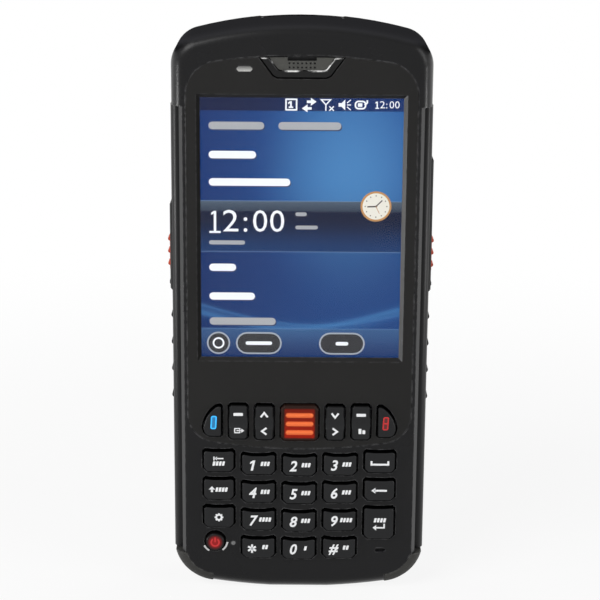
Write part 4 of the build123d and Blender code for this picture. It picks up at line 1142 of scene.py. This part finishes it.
    def power(self):
        """An open ring with a short bar at its top."""
        at = centre("key_power")
        bm = bmesh.new()
        draw(bm, KEY_PEN.ring(1.30, 0.42, 125, 415, steps=28), self.y, (at.x, at.z))
        draw(bm, KEY_PEN.bar(0.45, 1.5, 0.2), self.y, (at.x, at.z + 0.75 * MM))
        self.stamp("key_power", bm, "red_mark", slot="key_power")


class TERMINAL_OT_screen(TerminalOperator, bpy.types.Operator):
    """Makes the lit screen behind the glass, with its icons, lines, clock and buttons"""

    bl_idname = "terminal.screen"
    bl_label = "Screen"

    panel_y = GLASS_BACK_Y + 0.35 * MM
    lift = 0.02 * MM  # of one layer of the picture over the one below
    type_size = 1.42  # over the height of its digits

    def execute(self, context):
        paint("touch_panel", "touch_glass")
        self.panel()
        self.status_bar()
        self.menu()
        self.clock()
        self.foot()
        return {"FINISHED"}

    @staticmethod
    def spot(across, down):
        """A place on the screen, from shares of its width and height."""
        return SCREEN_LEFT + across * SCREEN_WIDTH, SCREEN_TOP - down * SCREEN_HEIGHT

    def show(self, name, bm, finish):
        """Makes a thin piece of the picture."""
        mesh_piece(name, bm, finish, "terminal", self.lift * 0.6)

    def add(self, name, shapes, finish, layer=1):
        """A piece of the picture on one of its layers: a list of (faces, across, down)."""
        bm = bmesh.new()
        for faces, across, down in shapes:
            draw(bm, faces, self.panel_y - layer * self.lift, self.spot(across, down))
        self.show(name, bm, finish)

    def panel(self):
        """The lit panel, a little behind the glass."""
        low, high = PANEL_LOW, PANEL_HIGH
        bm = bmesh.new()
        middle = ((low.x + high.x) / 2, (self.panel_y + high.y) / 2, (low.z + high.z) / 2)
        block(bm, middle, (high.x - low.x, high.y - self.panel_y, high.z - low.z))
        panel = mesh_piece("display_panel", bm, "screen", "terminal")
        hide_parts("display_module")

    def status_bar(self):
        """Plain icons, a digit in the first of them, and the time."""
        pen, down = SCREEN_PEN, 0.028
        horn = [(-2.0, -0.9), (-0.5, -0.9), (1.3, -2.7), (1.3, 2.7), (-0.5, 0.9), (-2.0, 0.9)]
        icons = [
            (pen.frame(6.0, 6.0, 0.4, 0.8), 0.448, down),
            (pen.line([(-1.6, 0), (0.6, 0)], 1.3), 0.540, down - 0.011),
            (pen.fill((3.2, 0), (0.4, 2.0), (0.4, -2.0)), 0.540, down - 0.011),
            (pen.line([(-0.6, 0), (1.6, 0)], 1.3), 0.532, down + 0.014),
            (pen.fill((-3.2, 0), (-0.4, 2.0), (-0.4, -2.0)), 0.532, down + 0.014),
            (pen.line([(0, -3.0), (0, 0), (-2.3, 2.5), (2.3, 2.5), (0, 0)], 0.6), 0.618, down),
            (pen.line([(-1.1, -1.1), (1.1, 1.1)], 0.6), 0.646, down + 0.014),
            (pen.line([(-1.1, 1.1), (1.1, -1.1)], 0.6), 0.646, down + 0.014),
            (pen.fill(*horn), 0.700, down),
            (pen.line([(0, 0), (1.8, 1.6)], 0.5), 0.722, down - 0.007),
            (pen.line([(0, 0), (1.9, 0)], 0.5), 0.722, down),
            (pen.line([(0, 0), (1.8, -1.6)], 0.5), 0.722, down + 0.007),
            (pen.frame(5.8, 4.4, 1.9, 0.8), 0.788, down),
            (pen.bar(2.2, 1.8, 0.3), 0.786, down),
            (pen.line([(0, 0), (1.3, 1.0), (1.3, 2.4)], 0.8), 0.808, down),
        ]
        self.add("screen_status", icons, "ink")
        bm = bmesh.new()
        draw(bm, pen.one(3.4, 0.9, foot=2.2), self.panel_y - self.lift, self.spot(0.446, down))
        self.time(bm, 3.6, (0.870, 0.896, 0.917, 0.942, 0.969), down, 0.62)
        self.show("screen_status_digits", bm, "ink")

    def time(self, bm, height, places, down, line):
        """12:00 as plain digits of one height, each at its own place across."""
        y = self.panel_y - self.lift
        tall = height * SCREEN_PEN.unit
        size, thinner = tall * self.type_size, -0.004 * tall
        stem, two, colon, *noughts = (self.spot(across, down) for across in places)
        draw(bm, SCREEN_PEN.one(height, line, foot=height * 0.5), y, stem)
        write(bm, "2", size, y, two, weight=thinner, stretch=1.12)
        write(bm, ":", size, y, colon)
        for nought in noughts:
            write(bm, "0", size, y, nought, weight=thinner, stretch=1.02)

    def menu(self):
        """Blank menu lines: rounded bars with the lengths that entries would have."""
        left, height = 0.04, 3.8
        bright = [(0.218, left, 0.275), (0.322, left, 0.445), (0.652, left, 0.175), (0.765, left, 0.270)]
        faded = [(0.108, left, 0.315), (0.108, 0.385, 0.695), (0.864, left, 0.375)]
        for name, finish, entries in (
            ("screen_menu_bright", "ink", bright),
            ("screen_menu_faded", "faded_ink", faded),
        ):
            lines, shadows = [], []
            for down, start, end in entries:
                faces, across = SCREEN_PEN.bar((end - start) * 100, height), (start + end) / 2
                lines.append((faces, across, down))
                shadows.append((SCREEN_PEN.moved(faces, 0.5, -0.6), across, down))
            self.add(name + "_shadow", shadows, "shadow_ink")
            self.add(name, lines, finish, layer=2)

    def clock(self):
        """The time in large digits, blank notes round it and a clock with hands."""
        pen = SCREEN_PEN
        bm = bmesh.new()
        self.time(bm, 11.3, (0.070, 0.1485, 0.2225, 0.2955, 0.3806), 0.476, 1.25)
        self.show("screen_time", bm, "ink")
        notes = [
            (pen.bar(5.6, 1.9), 0.500, 0.444),
            (pen.bar(11.2, 1.9), 0.528, 0.495),
            (pen.bar(18.0, 2.1), 0.130, 0.555),
        ]
        self.add("screen_notes", notes, "faded_ink")
        place, reach = (0.873, 0.412), 5.4
        hands = pen.line([(-4.3, -0.2), (0.6, 0)], 0.7) + pen.line([(-0.3, -0.3), (3.1, 3.1)], 0.6)
        for hour in range(12):
            turn = radians(30 * hour)
            hands += pen.moved(pen.bar(0.6, 0.6), reach * cos(turn), reach * sin(turn))
        self.add("screen_clock_ring", [(pen.disc(7.7), *place)], "clock_ring")
        self.add("screen_clock_face", [(pen.disc(6.7), *place)], "clock_face", layer=2)
        self.add("screen_clock_hands", [(hands, *place)], "clock_hand", layer=3)
        second = pen.line([(0, 0), (1.7, -3.6)], 0.3)
        self.add("screen_clock_second", [(second, *place)], "clock_ring", layer=4)

    def foot(self):
        """A blank round button and two blank pills."""
        pen, down = SCREEN_PEN, 0.951
        button, left, right = 0.085, 0.290, 0.712
        self.add("screen_button_rim", [(pen.disc(5.9), button, down)], "pill_rim")
        self.add("screen_button", [(pen.disc(5.1), button, down)], "pill", layer=2)
        self.add("screen_button_dot", [(pen.ring(3.0, 0.9, steps=36), button, down)], "ink", layer=3)
        rim, pill = pen.bar(23.3, 11.6), pen.bar(21.7, 10.0)
        self.add("screen_pill_rims", [(rim, across, down) for across in (left, right)], "pill_rim")
        self.add("screen_pills", [(pill, across, down) for across in (left, right)], "pill", layer=2)
        lines = [(pen.bar(13.5, 1.9), left, down), (pen.bar(6.5, 1.9), right, down)]
        self.add("screen_pill_lines", lines, "ink", layer=3)


class TERMINAL_OT_inside(TerminalOperator, bpy.types.Operator):
    """Finishes the boards, the battery and what else is inside"""

    bl_idname = "terminal.inside"
    bl_label = "Inside"

    def execute(self, context):
        for name, finish, width in (
            ("key_membrane", "silicone", 0.1),
            ("main_board", "board", 0.05),
            ("inner_frame", "magnesium", 0.1),
            ("battery_pack", "battery", 0.2),
            ("receiver_sounder", "module", 0.1),
            ("scan_engine", "module", 0.1),
            ("camera_unit", "module", 0.1),
            ("loudspeaker", "speaker", 0.1),
            ("dock_connector", "module", 0.08),
        ):
            dress(name, finish, width * MM)
        self.dock_contacts()
        self.battery_contacts()
        return {"FINISHED"}

    @staticmethod
    def dock_contacts():
        """Two rows of gold contacts along the tongue of the dock connector."""
        low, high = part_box("dock_connector")
        middle_y = (low.y + high.y) / 2
        count, pitch, from_tongue = 12, 1.25 * MM, 0.62 * MM
        size = (0.6 * MM, 0.08 * MM, 3.0 * MM)
        bm = bmesh.new()
        for index in range(count):
            x = (index - (count - 1) / 2) * pitch
            for y in (middle_y - from_tongue, middle_y + from_tongue):
                block(bm, (x, y, low.z + 3.0 * MM), size)
        mesh_piece("dock_contacts", bm, "gold", "terminal")

    @staticmethod
    def battery_contacts():
        """Four gold pads near the upper end of the battery, toward the cover."""
        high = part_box("battery_pack")[1]
        count, pitch, from_end = 4, 4.0 * MM, 4.0 * MM
        size = (2.4 * MM, 0.06 * MM, 3.2 * MM)
        bm = bmesh.new()
        for index in range(count):
            x = (index - (count - 1) / 2) * pitch
            block(bm, (x, high.y, high.z - from_end), size)
        mesh_piece("battery_pads", bm, "gold", "terminal")


class TERMINAL_OT_back(TerminalOperator, bpy.types.Operator):
    """Finishes the battery cover, its latch and hinge, the windows and the screws"""

    bl_idname = "terminal.back"
    bl_label = "Back"

    def execute(self, context):
        for name, finish, width in (
            ("battery_cover", "cover", 0.3),
            ("battery_latch", "volume", 0.15),
            ("hinge_pin", "steel", 0.1),
            ("scan_window", "scan_glass", 0.15),
            ("camera_glass", "camera_window", 0.2),
            ("housing_screws", "steel", 0.1),
        ):
            dress(name, finish, width * MM)
        return {"FINISHED"}


class TERMINAL_OT_stage(TerminalOperator, bpy.types.Operator):
    """Makes the floor, the lights, the world and the camera"""

    bl_idname = "terminal.stage"
    bl_label = "Stage"

    def execute(self, context):
        stage = context.scene.terminal_stage
        self.floor(stage)
        self.world(context.scene)
        target = Vector((stage.target_aside, FRONT_Y, stage.target_height))
        for name, place, size, watts in (
            ("key_light", (-0.55, -0.65, 0.80), (0.55, 0.55), 6.6),
            ("fill_light", (0.75, -0.50, 0.45), (0.35, 0.60), 2.1),
            ("left_strip", (-0.31, -0.13, 0.048), (0.030, 0.078), 0.47),
            ("right_strip", (0.31, -0.13, 0.048), (0.030, 0.078), 0.29),
            ("right_back_light", (0.75, 0.80, 0.40), (0.50, 0.40), 4.2),
            ("left_back_light", (-0.75, 0.80, 0.40), (0.50, 0.40), 2.8),
        ):
            self.lamp(name, Vector(place), size, watts, target)
        self.camera(context.scene, stage, target)
        return {"FINISHED"}

    @staticmethod
    def floor(stage):
        """A pale floor that takes shadows, and is plain white from a little way off."""
        bm = bmesh.new()
        bmesh.ops.create_grid(bm, x_segments=1, y_segments=1, size=4.0)
        data = bpy.data.meshes.new("floor")
        bm.to_mesh(data)
        bm.free()
        floor = bpy.data.objects.new("floor", data)
        bpy.context.scene.collection.objects.link(floor)
        graph, shader = material("floor")
        graph.feed(shader, {"Base Color": stage.floor, "Roughness": 0.9, "Specular IOR Level": 0.0})
        x, y, _ = graph.place()
        near, far = 0.10, 0.40
        away = graph.ramp(graph.reach(x, y), near, far)
        white = graph.times_plus(away, 1.0 - FLOOR_LIGHT, FLOOR_LIGHT)
        both = graph.add("ShaderNodeMixShader")
        graph.link(graph.times(graph.seen(), white), both.inputs[0])
        graph.link(shader.outputs[0], both.inputs[1])
        graph.link(graph.add("ShaderNodeEmission").outputs[0], both.inputs[2])
        output = next(node for node in graph.tree.nodes if node.type == "OUTPUT_MATERIAL")
        graph.link(both.outputs[0], output.inputs["Surface"])
        data.materials.append(finish_of("floor"))

    @staticmethod
    def world(scene):
        """White where it is seen, and dim where it lights the terminal."""
        world = bpy.data.worlds.new("studio")
        world.use_nodes = True
        graph = Graph(world.node_tree)
        strength = graph.times_plus(graph.seen(), 1.0 - WORLD_LIGHT, WORLD_LIGHT)
        graph.feed(world.node_tree.nodes["Background"], {"Color": (1.0, 1.0, 1.0), "Strength": strength})
        scene.world = world

    @staticmethod
    def lamp(name, place, size, watts, target):
        data = bpy.data.lights.new(name, "AREA")
        data.shape = "RECTANGLE"
        data.size, data.size_y = size
        data.energy = watts
        lamp = bpy.data.objects.new(name, data)
        lamp.location = place
        lamp.rotation_euler = (target - place).to_track_quat("-Z", "Y").to_euler()
        lamp.visible_camera = False
        lamp.visible_glossy = "back" not in name
        bpy.context.scene.collection.objects.link(lamp)

    @staticmethod
    def camera(scene, stage, target):
        data = bpy.data.cameras.new("camera")
        data.lens = stage.focal
        data.sensor_width = 36.0
        data.clip_start = 0.01
        camera = bpy.data.objects.new("camera", data)
        away = Vector((0, -cos(stage.elevation), sin(stage.elevation)))
        camera.location = target + stage.distance * away
        look = (-away).to_track_quat("-Z", "Y").to_matrix().to_4x4()
        camera.rotation_euler = (look @ Matrix.Rotation(stage.roll, 4, "Z")).to_euler()
        scene.collection.objects.link(camera)
        scene.camera = camera


PIECES = (
    TERMINAL_OT_materials,
    TERMINAL_OT_shell,
    TERMINAL_OT_keys,
    TERMINAL_OT_legends,
    TERMINAL_OT_screen,
    TERMINAL_OT_inside,
    TERMINAL_OT_back,
    TERMINAL_OT_stage,
)


class TERMINAL_PT_panel(bpy.types.Panel):
    """Lists the steps that dress the terminal"""

    bl_idname = "TERMINAL_PT_panel"
    bl_label = "Data terminal"
    bl_space_type = "VIEW_3D"
    bl_region_type = "UI"
    bl_category = "Terminal"

    def draw(self, context):
        for piece in PIECES:
            self.layout.operator(piece.bl_idname)


GROUPS = {
    "terminal_finishes": TerminalFinishes,
    "terminal_screen": TerminalScreen,
    "terminal_stage": TerminalStage,
}


def register():
    for made in (*GROUPS.values(), *PIECES, TERMINAL_PT_panel):
        bpy.utils.register_class(made)
    for name, group in GROUPS.items():
        setattr(bpy.types.Scene, name, bpy.props.PointerProperty(type=group))


def unregister():
    for name in GROUPS:
        delattr(bpy.types.Scene, name)
    for made in reversed((*GROUPS.values(), *PIECES, TERMINAL_PT_panel)):
        bpy.utils.unregister_class(made)


def main():
    register()
    bpy.context.scene.view_settings.view_transform = "Standard"
    bpy.ops.terminal.materials()
    bpy.ops.terminal.shell()
    bpy.ops.terminal.keys()
    bpy.ops.terminal.legends()
    bpy.ops.terminal.screen()
    bpy.ops.terminal.inside()
    bpy.ops.terminal.back()
    bpy.ops.terminal.stage()


if __name__ == "__main__":
    main()
